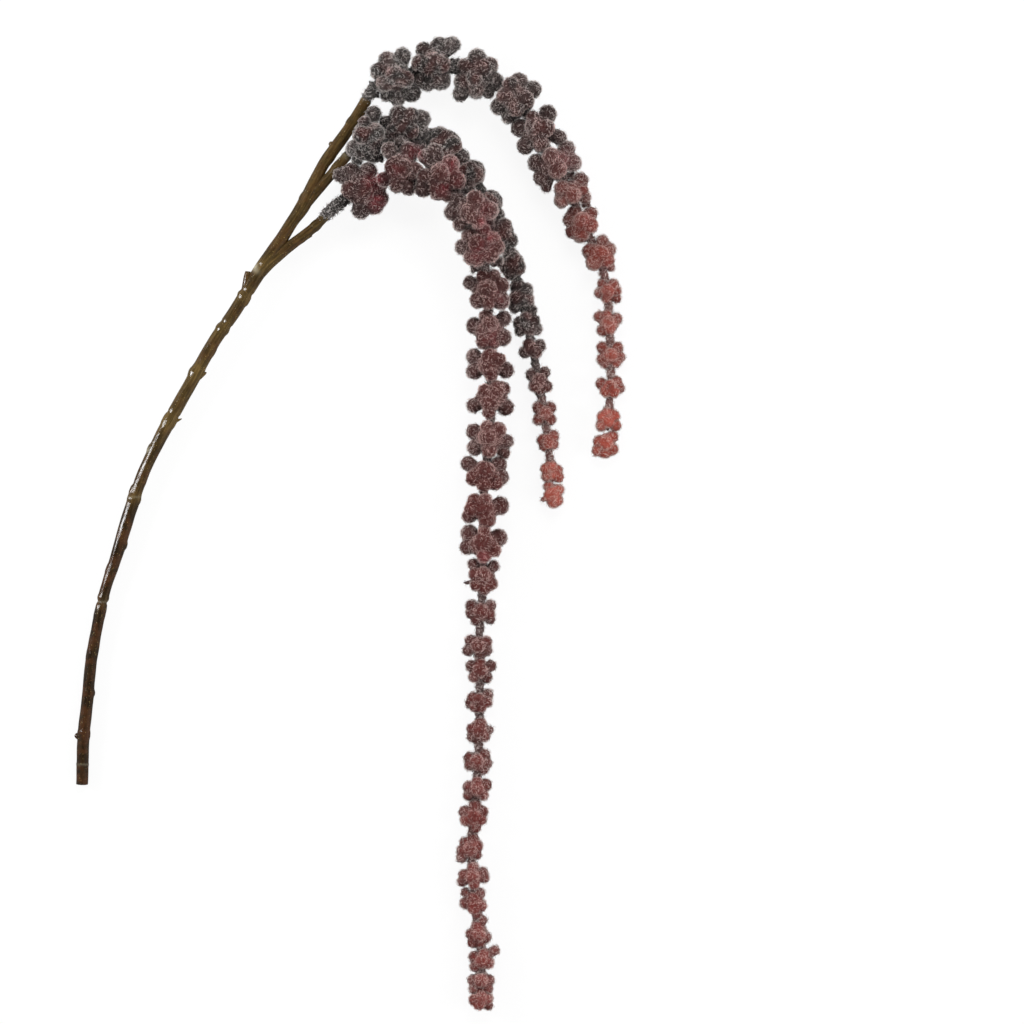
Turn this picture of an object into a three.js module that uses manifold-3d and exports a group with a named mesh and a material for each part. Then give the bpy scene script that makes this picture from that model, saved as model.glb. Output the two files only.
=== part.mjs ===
// Artificial hanging amaranth spray, laid down on a flat surface.
// Millimetres, +Z up. Y runs along the spray, from the cut end of the stem and the tassel tips (-Y)
// to the top of the arch (+Y). The origin is under the middle of the spray, on the surface.

import * as THREE from "three";
import Module from "manifold-3d";

// Driving dimensions
const CORE_RADIUS = 1.6;
const CORE_SIDES = 8;
const CORE_STEP = 6.5;
const CLEARANCE = 0.5; // between a core and the bore that it runs in
const PIECE_GAP = 0.3; // between one floret and the next
const SOCKET_CLEARANCE = 0.5; // round the end of a core in its branch tip
const SOCKET_MOUTH = 3; // how far the socket's cutter stands out of the branch tip
const LARGE_FLORET = 10; // a floret of this radius or more is a large one
const LARGE_SIDES = 12; // six lobes in a ring
const SMALL_SIDES = 10; // five lobes in a ring
const LOBE_VALLEY = 0.86; // radius between two lobes, of the radius at their tops
const STEM_SIDES = 10;
const STEM_STEP = 6;
const CURVE_SAMPLES = 20; // arc length samples from one route point to the next

// Route of the main stem from the cut end, on through the upper branch to its tip: x, y, z, radius
const MAIN_STEM = [
  [-147, -143.5, 3.3, 3.3],
  [-146, -116, 3.9, 3.4],
  [-144, -98, 4.1, 3.3],
  [-142, -77, 4.2, 3.2],
  [-138, -54, 4.5, 3.1],
  [-134, -36.5, 4.8, 3],
  [-127, -15, 5.3, 3.4],
  [-120, 8, 5.8, 3.6],
  [-111.5, 31, 6.4, 3.3],
  [-100, 54, 7, 3.7],
  [-87, 77, 7.6, 3.6],
  [-74, 100, 8.2, 3.5],
  [-63, 116, 8.8, 3.5],
  [-50.5, 136.5, 9.5, 4],
  [-37, 157, 10.4, 4.2],
  [-25.5, 174.5, 11.2, 4],
  [-14.5, 197, 12.2, 3.8],
  [-8, 206.5, 12.8, 3.7],
  [1.5, 220.5, 13.4, 3.4],
  [10, 234, 14, 3.2],
];
const MIDDLE_BRANCH = [
  [-23, 179, 11.3, 2.8],
  [-16, 186, 12.8, 3],
  [-11, 191.5, 14.2, 2.9],
  [-6.5, 197, 15.7, 2.8],
  [0, 202.5, 17, 2.7],
];
const LOWER_BRANCH = [
  [-53, 132.5, 9.4, 2.8],
  [-44.5, 142, 9.9, 3.2],
  [-31, 153.5, 10.8, 2.9],
  [-17.5, 164, 12.2, 2.7],
  [-11.5, 170, 13, 2.7],
];

// Moulded details of the stem: where each starts inside the stem, where it ends, and its two radii
const STEM_DETAILS = [
  { from: [-56.5, 126, 9], to: [-55, 139, 9.8], start: 2.6, end: 1.9 }, // stub below the fork
  { from: [-28, 155.5, 11], to: [-19.8, 158.8, 11.6], start: 1.6, end: 1.2 }, // stub on the lower branch
  { from: [-146, -118.5, 3.7], to: [-150.6, -115.5, 3.9], start: 1.6, end: 1.3 }, // knob near the cut end
  { from: [-8, 206.5, 12.8], to: [-11.2, 210, 13], start: 2, end: 1.3 }, // knob on the upper branch
  { from: [-98, 55.5, 7], to: [-91.5, 58, 7.4], start: 1.4, end: 0.5 }, // spur at the middle
  { from: [-82, 81, 7.8], to: [-78, 83.5, 8], start: 1.5, end: 0.7 }, // spur above the middle
];

// A leaf scar swells the main stem where it crosses this y: how far round it, and over what length
const LEAF_SCARS = [-114, -44, 13, 56, 82, 106, 126];
const SCAR_SWELLING = 0.5;
const SCAR_LENGTH = 3.2;

// Each tassel: the socket's bottom, the branch tip, a point on the bare neck, then its florets.
// A floret is x, y, z, its radius across the core and its half length along the core.
const TASSELS = [
  {
    name: "upper",
    socket: [7.5, 228.5, 13.7],
    tip: [10, 234, 14],
    neck: [14.5, 240, 14.2],
    florets: [
      [26, 246, 14.4, 15, 11],
      [47, 253, 13.8, 14.3, 11.3],
      [71, 247, 13.8, 14.3, 12],
      [92.5, 234.5, 13.4, 14, 11.5],
      [104.5, 216.5, 13, 13.5, 10.5],
      [113.5, 197, 13, 13.5, 10],
      [122.5, 183.5, 11.4, 11.5, 8.2],
      [128.5, 165, 10.2, 10.5, 9.3],
      [138.5, 148, 9.4, 9.6, 9.5],
      [143.5, 128.5, 7.4, 7.4, 6.8],
      [143.3, 110.5, 7.5, 7.8, 7],
      [145, 92.5, 7.5, 7.8, 7],
      [144.5, 75, 7.5, 7.8, 6.3],
      [142.5, 50, 6.8, 7, 13.5],
    ],
  },
  {
    name: "middle",
    socket: [-4.6, 198.6, 16.1],
    tip: [0, 202.5, 17],
    neck: [3.5, 206, 18.4],
    florets: [
      [11, 212, 22.5, 11.3, 11],
      [31, 219.5, 17.5, 11.3, 11.5],
      [54.5, 208.5, 12, 11.5, 11.5],
      [68, 193, 10.7, 11, 10],
      [78, 177, 10.2, 10.5, 9.5],
      [84.5, 160, 9.2, 9.5, 9],
      [91, 143, 8.7, 9, 9],
      [96, 125, 8.1, 8.3, 8.5],
      [98.5, 110.5, 7.6, 7.8, 7.5],
      [101.5, 96.5, 7.3, 7.5, 6.4],
      [105, 78.5, 7.1, 7.3, 7.9],
      [108, 61, 6.9, 7.1, 6.9],
      [110, 46, 6.2, 6.4, 6],
      [112.5, 21.5, 6.1, 6.3, 13],
    ],
  },
  {
    name: "long",
    socket: [-15.7, 165.8, 12.5],
    tip: [-11.5, 170, 13],
    neck: [-2.5, 177.3, 14],
    florets: [
      [8, 183, 17, 14.3, 11],
      [30, 194, 27, 14.1, 10.7],
      [52.5, 189.5, 33.5, 14.3, 11.5],
      [70, 170.5, 34.5, 14.2, 11],
      [74, 152, 32, 14, 11],
      [77.5, 128, 21, 12.7, 11.5],
      [77.5, 107, 13.5, 12.1, 9.7],
      [78, 87.5, 12.2, 12.6, 9],
      [79, 69, 12.3, 12.8, 9.5],
      [78.5, 47, 12.3, 12.8, 10],
      [75, 27.5, 12.3, 12.8, 10],
      [74.3, 8, 12.4, 12.9, 8.6],
      [74.8, -11, 12.2, 13, 10.5],
      [74.5, -29.5, 9.4, 9.5, 9.5],
      [73.3, -48.5, 8.2, 8.4, 7.7],
      [71.5, -66.5, 7.8, 8.1, 7],
      [72.7, -81, 7.8, 8.1, 7],
      [72.3, -97.5, 7.7, 7.9, 6.9],
      [72.5, -113.5, 7.6, 7.8, 8.2],
      [71.3, -131, 7.7, 7.9, 7.8],
      [71, -146, 7.8, 8.1, 6.6],
      [69, -161.5, 7.9, 8.2, 8.9],
      [67, -178.5, 7.2, 7.3, 7.9],
      [69, -194, 8, 8.4, 7.2],
      [69.7, -209.5, 7.2, 7.4, 8.8],
      [71.8, -225, 7, 7.1, 8.8],
      [74, -240, 7.4, 7.7, 7.7],
      [73, -257.5, 7.2, 7.3, 10.2],
    ],
  },
];

// A floret from the side: how far along its half length each ring of points is, its radius of the
// full one, and whether its lobes stand there. The two rings of lobes are staggered.
const FLORET_RINGS = [
  { along: -1, radius: 0.5, lobes: 0 },
  { along: -0.52, radius: 1, lobes: 1 },
  { along: 0, radius: 0.88, lobes: 0 },
  { along: 0.52, radius: 1, lobes: -1 },
  { along: 1, radius: 0.5, lobes: 0 },
];
// Rings of points down the bore of a floret, of its half length. A long bore follows the bend of its core.
const LONG_BORE = [1, 0.5, 0, -0.5, -1];
const SHORT_BORE = [1, 0, -1];
// The tip piece is two florets long, so it has a waist between its two halves
const TIP_RINGS = [
  { along: -1, radius: 0.55, lobes: 0 },
  { along: -0.72, radius: 1, lobes: 1 },
  { along: -0.38, radius: 0.95, lobes: -1 },
  { along: -0.02, radius: 0.8, lobes: 0 },
  { along: 0.34, radius: 0.96, lobes: 1 },
  { along: 0.72, radius: 0.9, lobes: -1 },
  { along: 0.96, radius: 0.5, lobes: 0 },
];
// A ring of points in the tip piece's blind bore, and the bore's end, past the middle by its half length
const TIP_BORE_RING = -0.4;
const TIP_BORE_END = 0.3;

const STEM_BROWN = new THREE.MeshStandardMaterial({ color: 0x4f3216, roughness: 0.35, metalness: 0 });
const CORE_GREY = new THREE.MeshStandardMaterial({ color: 0x4a4343, roughness: 0.95, metalness: 0 });
const FLOCK_TOP = new THREE.Color(0x35292b);
const FLOCK_TIP = {
  upper: new THREE.Color(0xb0554e),
  middle: new THREE.Color(0xb25249),
  long: new THREE.Color(0x6d4447),
};

const wasm = await Module();
wasm.setup();

const group = new THREE.Group();

function vector([x, y, z]) {
  return new THREE.Vector3(x, y, z);
}

function smoothRoute(points) {
  const curve = new THREE.CatmullRomCurve3(points.map(vector), false, "centripetal");
  curve.arcLengthDivisions = CURVE_SAMPLES * (points.length - 1);
  return curve;
}

// The place on a route at a distance along it, with a level side direction and an up direction
function frameAt(curve, distance) {
  const u = THREE.MathUtils.clamp(distance / curve.getLength(), 0, 1);
  const along = curve.getTangentAt(u);
  const side = new THREE.Vector3(0, 0, 1).cross(along).normalize();
  const up = along.clone().cross(side);
  return { centre: curve.getPointAt(u), side, up };
}

function ringPoint(frame, radius, angle) {
  const point = frame.centre.clone();
  point.addScaledVector(frame.side, radius * Math.cos(angle));
  point.addScaledVector(frame.up, radius * Math.sin(angle));
  return point;
}

// Triangles between rings of the same number of points, each ring's points numbered from its first
function joinRings(firsts, sides, triangles) {
  for (let ring = 0; ring + 1 < firsts.length; ring += 1) {
    for (let i = 0; i < sides; i += 1) {
      const next = (i + 1) % sides;
      const [a, b] = [firsts[ring] + i, firsts[ring] + next];
      const [c, d] = [firsts[ring + 1] + i, firsts[ring + 1] + next];
      triangles.push(a, b, d, a, d, c);
    }
  }
}

function toGeometry(points, triangles) {
  const geometry = new THREE.BufferGeometry();
  const coordinates = points.flatMap((point) => point.toArray());
  geometry.setAttribute("position", new THREE.Float32BufferAttribute(coordinates, 3));
  geometry.setIndex(triangles);
  geometry.computeVertexNormals();
  return geometry;
}

// A solid of round sections with a point on its axis at each end. The rings go forwards along the route.
function cappedGeometry(rings, startPoint, endPoint, sides) {
  const points = rings.flat();
  const triangles = [];
  joinRings(rings.map((ring, index) => index * sides), sides, triangles);
  const start = points.push(startPoint) - 1;
  const end = points.push(endPoint) - 1;
  const last = (rings.length - 1) * sides;
  for (let i = 0; i < sides; i += 1) {
    const next = (i + 1) % sides;
    triangles.push(start, next, i);
    triangles.push(end, last + i, last + next);
  }
  return toGeometry(points, triangles);
}

function roundRing(frame, radius, sides) {
  const turn = (2 * Math.PI) / sides;
  return Array.from({ length: sides }, (unused, i) => ringPoint(frame, radius, turn * i));
}

// A tube along a curve, with its radius given at each share of the length
function tubeGeometry(curve, steps, sides, radiusAt) {
  const stride = curve.getLength() / steps;
  const frames = Array.from({ length: steps + 1 }, (unused, i) => frameAt(curve, stride * i));
  const rings = frames.map((frame, i) => roundRing(frame, radiusAt(i / steps, frame.centre), sides));
  return cappedGeometry(rings, frames[0].centre, frames[steps].centre, sides);
}

function toSolid(geometry) {
  const vertProperties = new Float32Array(geometry.getAttribute("position").array);
  const triVerts = new Uint32Array(geometry.getIndex().array);
  return new wasm.Manifold(new wasm.Mesh({ numProp: 3, vertProperties, triVerts }));
}

function fromSolid(solid) {
  const mesh = solid.getMesh();
  const geometry = new THREE.BufferGeometry();
  geometry.setAttribute("position", new THREE.BufferAttribute(mesh.vertProperties, 3));
  geometry.setIndex(new THREE.BufferAttribute(mesh.triVerts, 1));
  geometry.computeVertexNormals();
  return geometry;
}

// The radius between route points, from the fourth number of each
function routeRadius(points, share) {
  const place = share * (points.length - 1);
  const index = Math.min(Math.floor(place), points.length - 2);
  return THREE.MathUtils.lerp(points[index][3], points[index + 1][3], place - index);
}

function scarSwelling(y) {
  const swellings = LEAF_SCARS.map((scar) => Math.exp(-(((y - scar) / SCAR_LENGTH) ** 2)));
  return SCAR_SWELLING * swellings.reduce((sum, swelling) => sum + swelling, 0);
}

function branchSolid(points, scars) {
  const curve = smoothRoute(points);
  const steps = Math.round(curve.getLength() / STEM_STEP);
  return toSolid(
    tubeGeometry(curve, steps, STEM_SIDES, (u, centre) => {
      const share = curve.getUtoTmapping(u);
      return routeRadius(points, share) + (scars ? scarSwelling(centre.y) : 0);
    }),
  );
}

function straightSolid(from, to, start, end) {
  const line = new THREE.LineCurve3(from, to);
  return toSolid(tubeGeometry(line, 1, CORE_SIDES, (u) => THREE.MathUtils.lerp(start, end, u)));
}

// The room for the end of a core in its branch tip, open at the tip
function socketSolid(tassel) {
  const bottom = vector(tassel.socket);
  const mouth = vector(tassel.tip);
  const direction = mouth.clone().sub(bottom).normalize();
  bottom.addScaledVector(direction, -SOCKET_CLEARANCE);
  mouth.addScaledVector(direction, SOCKET_MOUTH);
  const radius = CORE_RADIUS + SOCKET_CLEARANCE;
  return straightSolid(bottom, mouth, radius, radius);
}

function addMesh(name, geometry, material) {
  const mesh = new THREE.Mesh(geometry, material);
  mesh.name = name;
  group.add(mesh);
}

function addStem() {
  let stem = branchSolid(MAIN_STEM, true);
  stem = stem.add(branchSolid(MIDDLE_BRANCH, false));
  stem = stem.add(branchSolid(LOWER_BRANCH, false));
  for (const detail of STEM_DETAILS) {
    stem = stem.add(straightSolid(vector(detail.from), vector(detail.to), detail.start, detail.end));
  }
  for (const tassel of TASSELS) {
    stem = stem.subtract(socketSolid(tassel));
  }
  addMesh("stem", fromSolid(stem), STEM_BROWN);
}

// One ring of a floret's points. lobes is 1 or -1 where lobes stand, -1 turned by half a lobe, else 0
function lobedRing(frame, radius, sides, lobes) {
  return Array.from({ length: sides }, (unused, i) => {
    const onLobe = lobes !== 0 && i % 2 === (lobes > 0 ? 0 : 1);
    const point = ringPoint(frame, onLobe ? radius : radius * LOBE_VALLEY, (2 * Math.PI * i) / sides);
    point.z = Math.max(point.z, 0);
    return point;
  });
}

// A floret is a lobed ring round its core. Its section closes on itself through the bore.
function floretGeometry(curve, start, end, across, sides) {
  const middle = (start + end) / 2;
  const half = (end - start) / 2;
  const bore = CORE_RADIUS + CLEARANCE;
  const rings = FLORET_RINGS.map(({ along, radius, lobes }) =>
    lobedRing(frameAt(curve, middle + along * half), radius * across, sides, lobes),
  );
  for (const along of across >= LARGE_FLORET ? LONG_BORE : SHORT_BORE) {
    rings.push(roundRing(frameAt(curve, middle + along * half), bore, sides));
  }
  const points = rings.flat();
  const triangles = [];
  const firsts = rings.map((ring, index) => index * sides);
  joinRings([...firsts, 0], sides, triangles);
  return toGeometry(points, triangles);
}

// The tip piece closes the end of its core, which stops in a blind bore.
function tipGeometry(curve, start, middle, end, across, sides) {
  const before = middle - start;
  const after = end - middle;
  const place = (along) => middle + along * (along < 0 ? before : after);
  const bore = CORE_RADIUS + CLEARANCE;
  const boreEnd = frameAt(curve, place(TIP_BORE_END));
  const rings = [
    roundRing(boreEnd, bore, sides),
    roundRing(frameAt(curve, place(TIP_BORE_RING)), bore, sides),
    roundRing(frameAt(curve, start), bore, sides),
  ];
  for (const { along, radius, lobes } of TIP_RINGS) {
    rings.push(lobedRing(frameAt(curve, place(along)), radius * across, sides, lobes));
  }
  return cappedGeometry(rings, boreEnd.centre, frameAt(curve, end).centre, sides);
}

// Distances along the route at which each floret starts and ends. Neighbours share the room between them
// by their own half lengths, and keep a gap.
function floretSpans(distances, florets, routeEnd) {
  return florets.map(([, , , , half], i) => {
    const before = i > 0 ? distances[i] - distances[i - 1] : Infinity;
    const after = i + 1 < florets.length ? distances[i + 1] - distances[i] : Infinity;
    const shareBefore = i > 0 ? (before * half) / (half + florets[i - 1][4]) : Infinity;
    const shareAfter = i + 1 < florets.length ? (after * half) / (half + florets[i + 1][4]) : Infinity;
    const start = distances[i] - Math.min(half, shareBefore - PIECE_GAP / 2);
    const end = Math.min(distances[i] + Math.min(half, shareAfter - PIECE_GAP / 2), routeEnd);
    return { start, middle: distances[i], end };
  });
}

function coreGeometry(points) {
  const curve = smoothRoute(points);
  const section = new THREE.Shape();
  for (let i = 0; i < CORE_SIDES; i += 1) {
    const angle = (2 * Math.PI * i) / CORE_SIDES;
    const [x, y] = [CORE_RADIUS * Math.cos(angle), CORE_RADIUS * Math.sin(angle)];
    if (i === 0) section.moveTo(x, y);
    else section.lineTo(x, y);
  }
  const steps = Math.round(curve.getLength() / CORE_STEP);
  return new THREE.ExtrudeGeometry(section, { steps, bevelEnabled: false, extrudePath: curve });
}

function addTassel(tassel) {
  const { name, florets } = tassel;
  const last = florets[florets.length - 1];
  const previous = florets[florets.length - 2];
  const heading = vector(last).sub(vector(previous)).setZ(0).normalize();
  const routeEnd = vector(last).addScaledVector(heading, last[4]);
  const leadIn = [tassel.socket, tassel.tip, tassel.neck];
  const points = [...leadIn, ...florets.map(([x, y, z]) => [x, y, z]), routeEnd.toArray()];
  const curve = smoothRoute(points);
  const lengths = curve.getLengths();
  const distances = florets.map((unused, i) => lengths[(i + leadIn.length) * CURVE_SAMPLES]);
  const spans = floretSpans(distances, florets, curve.getLength());

  const tipSpan = spans[spans.length - 1];
  const coreEnd = tipSpan.middle;
  const corePoints = [...leadIn, ...florets.slice(0, -1).map(([x, y, z]) => [x, y, z])];
  corePoints.push(curve.getPointAt(coreEnd / curve.getLength()).toArray());
  addMesh(`${name}_core`, coreGeometry(corePoints), CORE_GREY);

  florets.forEach(([, , , across], i) => {
    const { start, middle, end } = spans[i];
    const sides = across >= LARGE_FLORET ? LARGE_SIDES : SMALL_SIDES;
    const isTip = i === florets.length - 1;
    const geometry = isTip
      ? tipGeometry(curve, start, middle, end, across, sides)
      : floretGeometry(curve, start, end, across, sides);
    const color = FLOCK_TOP.clone().lerp(FLOCK_TIP[name], i / (florets.length - 1));
    const material = new THREE.MeshStandardMaterial({ color, roughness: 0.95, metalness: 0 });
    addMesh(`${name}_floret_${String(i + 1).padStart(2, "0")}`, geometry, material);
  });
}

// Puts the origin on the surface, under the middle of the spray
function centreOnOrigin() {
  const box = new THREE.Box3().setFromObject(group);
  const centre = box.getCenter(new THREE.Vector3());
  group.position.set(-centre.x, -centre.y, -box.min.z);
}

addStem();
TASSELS.forEach(addTassel);
centreOnOrigin();

export default group;
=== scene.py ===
"""Looks of a hanging amaranth spray on a pale floor: a moulded stem and three tassels of flocked florets.

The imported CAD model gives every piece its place. Shapes are worked out in its frame in millimetres, and
each becomes metres when its mesh is made. X is the picture's right, Y its top and Z towards the camera.
"""

import math

import bpy
import numpy as np
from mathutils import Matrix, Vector


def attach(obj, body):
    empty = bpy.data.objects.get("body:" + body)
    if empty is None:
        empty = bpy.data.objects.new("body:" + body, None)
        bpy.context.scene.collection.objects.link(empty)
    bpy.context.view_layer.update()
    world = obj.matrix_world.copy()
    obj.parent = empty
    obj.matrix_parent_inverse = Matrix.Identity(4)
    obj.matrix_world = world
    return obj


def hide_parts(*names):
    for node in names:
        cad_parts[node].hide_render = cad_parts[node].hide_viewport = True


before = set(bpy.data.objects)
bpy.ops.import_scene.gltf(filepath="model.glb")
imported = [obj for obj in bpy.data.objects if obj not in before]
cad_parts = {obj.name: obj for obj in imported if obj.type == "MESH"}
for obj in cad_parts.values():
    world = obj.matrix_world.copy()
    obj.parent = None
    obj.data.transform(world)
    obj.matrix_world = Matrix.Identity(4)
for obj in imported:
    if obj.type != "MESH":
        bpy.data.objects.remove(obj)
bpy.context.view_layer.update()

MM = 0.001
SEED = 41
NODE_GAP = 220

# Places in the picture, in its pixels, and the same places in the model's frame, in millimetres
PIXEL = 0.55
PICTURE_X = 349.09
PICTURE_Y = 525.64
PICTURE_MIDDLE = 512
PICTURE_WIDTH = 1024
LEVEL = 10.0  # the height at which a pixel has that size
LENS = 140.0
SENSOR = 36.0
EYE_HEIGHT = LEVEL + PICTURE_WIDTH * PIXEL * LENS / SENSOR

# Fineness of the skins, as rings and sides, and of the tubes
LARGE = 10.0  # a floret of this radius or more has the finer skin
LARGE_SKIN = (32, 50)
SMALL_SKIN = (25, 36)
TUFT_SKIN = (12, 18)
STEM_SIDES = 32
STEM_STEP = 0.8
SPUR_SIDES = 20
SPUR_RINGS = 14
CORE_SIDES = 20
CORE_STEP = 0.9

# Flock: short bent fibres, eight faces each. Angles are in degrees.
FIBRES_PER_AREA = 1.125  # on a square millimetre of skin
CORE_FIBRES = 0.8  # as a share of that
FIBRE_RUN = (0.75, 1.45)  # from the root to the knee, and again from there to the tip
FIBRE_WIDTH = 0.25
FIBRE_SUNK = 0.1
LIGHT_LEAN = (55, 78)  # from upright
DARK_LEAN = (68, 84)
KNEE_BEND = (30, 85)  # round the skin's normal
TIP_LIFT = (-22, 8)  # out from the skin
LIGHT_SHARE = (0.26, 0.96)  # share of light fibres where there is no frost and where there is most
LIGHT_TONE = (0.5, 1.0)
DARK_TONE = (0.0, 0.05)
SKIN_TONE = -1.0  # marks the skin for the flock material

# Frost: where there are more light fibres. It is partly the flock's own tone and partly painted rim light,
# with more light fibres where a lobe faces sideways
LOBE_FROST = (-0.25, 0.35)  # on top of a lobe, and below none on a dark one
PAINTED_RIM_LIGHT = 1.1  # painted rim light: frost added where a lobe faces sideways
PAINTED_RIM_LIGHT_POWER = 1.1
NOTCH_FROST = 0.6  # between the lobes
CORE_FROST = 0.55
HAZE_AND_RIM_LIGHT = 0.08  # how far the ground turns to the colour of the strands where there is most frost; at lobe rims this is painted rim light

# Lobes and florets
FLOCK_DEPTH = 0.45  # how far inside its outline the skin of a floret lies, to leave room for the fibres
FLORET_HEART = 0.7  # the heart that fills the gaps between the lobes, as a share of the floret
LOBE_NORM = 16
TWIN_DEPTH = 0.9
TIP_HALVES = (-0.5, 0.5)  # middles of the two skins of a tip piece, as shares of its half length
TIP_HALF = 0.56  # their own half length, as such a share
TUFT_LOBES = 5  # in each of the two rings of a tuft
TUFT_LOBE_SIZE = 0.4
BEAD_RADIUS = 2.3  # of the flock between two florets
CORE_RADIUS = 1.2  # inside a floret
CORE_RIPPLE = 0.12
CORE_RIPPLE_RUN = 2.1  # radians a millimetre
CORE_RIPPLE_TURNS = 3
CORE_END = 0.6
CORE_SEED = 7

# Colours of the flock, as the dark ground between the fibres and the light fibres over it
CHARCOAL = ((0.003, 0.002, 0.0018), (0.94, 0.87, 0.83))
BURGUNDY = ((0.040, 0.005, 0.0045), (0.95, 0.62, 0.57))
CORAL = ((0.340, 0.046, 0.027), (0.96, 0.67, 0.58))
DUSTY_ROSE = ((0.185, 0.028, 0.023), (0.97, 0.67, 0.61))
PINK = ((0.210, 0.020, 0.030), (0.95, 0.32, 0.34))
HEART_SHARE = 0.9  # how far charcoal turns to burgundy over the middle of a floret
HEART_RIPPLE = 9.0  # the size in millimetres of its patches
RIM_SHARE = 0.65  # how far the other colours turn to charcoal at the edge of a floret
RIM_REACH = 0.58  # how far in from there they turn, as a share of the floret's radius
CORE_HEART = 0.0  # the cores are coloured as a floret is at its edge
PINK_RIPPLE = 5.0
PINK_SHARE = (0.55, 0.7)  # the least, and what the ripple adds
PINK_GRAIN = (0.25, 1.0)
PATCH_FLOOR = 4.0  # patches fade out at this height
PATCH_FADE = 5.0  # and reach their strength this much higher
RIPPLE_WAVES = 9

# The web of strands on the skin under the fibres: scale and fray of its two sizes, and how much it shows
WEBS = ((620.0, 0.75), (1100.0, 0.9))
WEB_SHARE = 0.12
WEB_WIDTH = 0.16
CORE_WEB_WIDTH = 0.2

# Colours of the stem. Brown and olive have a dark and a light streak.
BROWN = ((0.014, 0.0075, 0.003), (0.029, 0.016, 0.006))
RED_BROWN = (0.052, 0.021, 0.008)
OLIVE = ((0.066, 0.042, 0.013), (0.130, 0.082, 0.026))
GOLD = (0.42, 0.30, 0.10)
GLUE = (0.42, 0.38, 0.27)
STEM_GLOSS = (0.07, 0.17)  # roughness of the dark and of the light streaks

# Low waves on the stem: how many, how high, and the range of their radians a millimetre along the stem,
# turns round it and phase
STEM_WAVES = 14
STEM_WAVE = 0.022
STEM_WAVE_FROM = (0.05, 0, 0)
STEM_WAVE_TO = (0.55, 4, 2 * math.pi)

# Where the pattern of the plastic is read, in millimetres: on a tube of this radius, apart for each part
GRAIN_RADIUS = 3.3
TUBE_SHIFT = 40.0
SPUR_SHIFT = 30.0

# Area lights: name, place, target, size in metres, power in watts, and whether glossy plastic mirrors it
LIGHTS = [
    ("left softbox", (-1.0, 0.27, 0.54), (-0.12, 0, 0), (0.26, 0.4), 8.0, True),
    ("right softbox", (1.0, -0.2, 0.5), (0, 0, 0), (0.7, 0.9), 7.0, False),
    ("top softbox", (0.2, 0.9, 1.0), (0, 0, 0), (0.8, 0.6), 9.0, False),
]
SKY = (0.95, 0.25)  # strength of the soft light from low down and from straight above
SKY_FADE = (0.35, 0.95)  # between these it fades, as shares of straight up
SKY_IN_GLOSS = 0.35
FLOOR_SIZE = 3.0
FLOOR_DROP = 0.0002
FLOOR_WHITE = (0.93, 0.93, 0.93)
FLOOR_IN_GLOSS = (0.2, 0.2, 0.2)
FLOOR_GLOW = 0.9  # share of plain white in what the camera sees of the floor

# How each tassel's colour goes from its top to its tip: floret number, then the share of each colour in the
# order charcoal, burgundy, coral, dusty rose
TASSEL_COLOURS = {
    "upper": [
        (1, 1.0, 0.0, 0.0, 0.0), (4, 0.8, 0.2, 0.0, 0.0), (6, 0.4, 0.5, 0.0, 0.1),
        (8, 0.0, 0.55, 0.35, 0.1), (10, 0.0, 0.4, 0.5, 0.1), (13, 0.0, 0.35, 0.6, 0.05),
        (14, 0.0, 0.05, 0.95, 0.0),
    ],
    "middle": [
        (1, 1.0, 0.0, 0.0, 0.0), (9, 0.85, 0.15, 0.0, 0.0), (11, 0.15, 0.8, 0.0, 0.05),
        (12, 0.0, 0.6, 0.35, 0.05), (13, 0.0, 0.4, 0.55, 0.05), (14, 0.0, 0.0, 1.0, 0.0),
    ],
    "long": [
        (0, 1.0, 0.0, 0.0, 0.0), (1, 0.45, 0.55, 0.0, 0.0), (3, 0.35, 0.65, 0.0, 0.0),
        (6, 0.2, 0.75, 0.0, 0.05), (12, 0.0, 0.75, 0.0, 0.25), (18, 0.25, 0.3, 0.0, 0.45),
        (22, 0.0, 0.2, 0.0, 0.8), (28, 0.0, 0.1, 0.0, 0.9),
    ],
}

# Patches where the flock is plainly pink: picture place, radius and strength
PINK_PATCHES = [
    (374, 180, 9, 0.9), (378, 202, 9, 0.9), (414, 153, 7, 0.95), (397, 172, 7, 0.35), (452, 166, 8, 0.7),
    (444, 190, 6, 0.85), (459, 183, 7, 0.35), (484, 222, 8, 0.55), (487, 207, 9, 0.35),
    (490, 238, 9, 0.45), (478, 254, 9, 0.45), (500, 300, 8, 0.4), (492, 338, 9, 0.4), (483, 557, 6, 0.7),
    (567, 158, 10, 0.3), (586, 222, 9, 0.2), (607, 268, 7, 0.3),
]

# Patches with more or fewer light fibres than round them: picture place, radius and change of frost. They
# are partly the flock's own tone and partly painted light that lifts sideways rims lying in shade
FROST_AND_RIM_LIGHT_PATCHES = [
    (430, 182, 15, -0.8), (400, 122, 13, -0.7), (424, 72, 14, -0.6), (477, 69, 12, -0.5),
    (358, 185, 12, -0.5), (389, 175, 11, -0.5), (466, 212, 10, -0.5), (485, 298, 12, -0.4),
    (542, 351, 10, -0.4), (347, 203, 12, -0.5), (433, 127, 9, 0.5), (565, 222, 8, 0.5), (524, 77, 9, 0.5),
    (496, 76, 9, 0.5), (559, 203, 7, 0.5), (580, 172, 8, 0.4), (453, 41, 8, 0.5), (583, 190, 26, 0.15),
    (604, 262, 28, 0.2), (609, 335, 34, 0.22), (610, 382, 20, 0.2), (541, 385, 20, 0.15),
    (547, 430, 24, 0.2), (608, 420, 16, 0.3), (605, 446, 16, 0.3), (552, 474, 14, 0.35),
    (553, 497, 16, 0.35), (475, 872, 30, 0.12), (477, 930, 35, 0.12), (481, 990, 25, 0.25),
]

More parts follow.
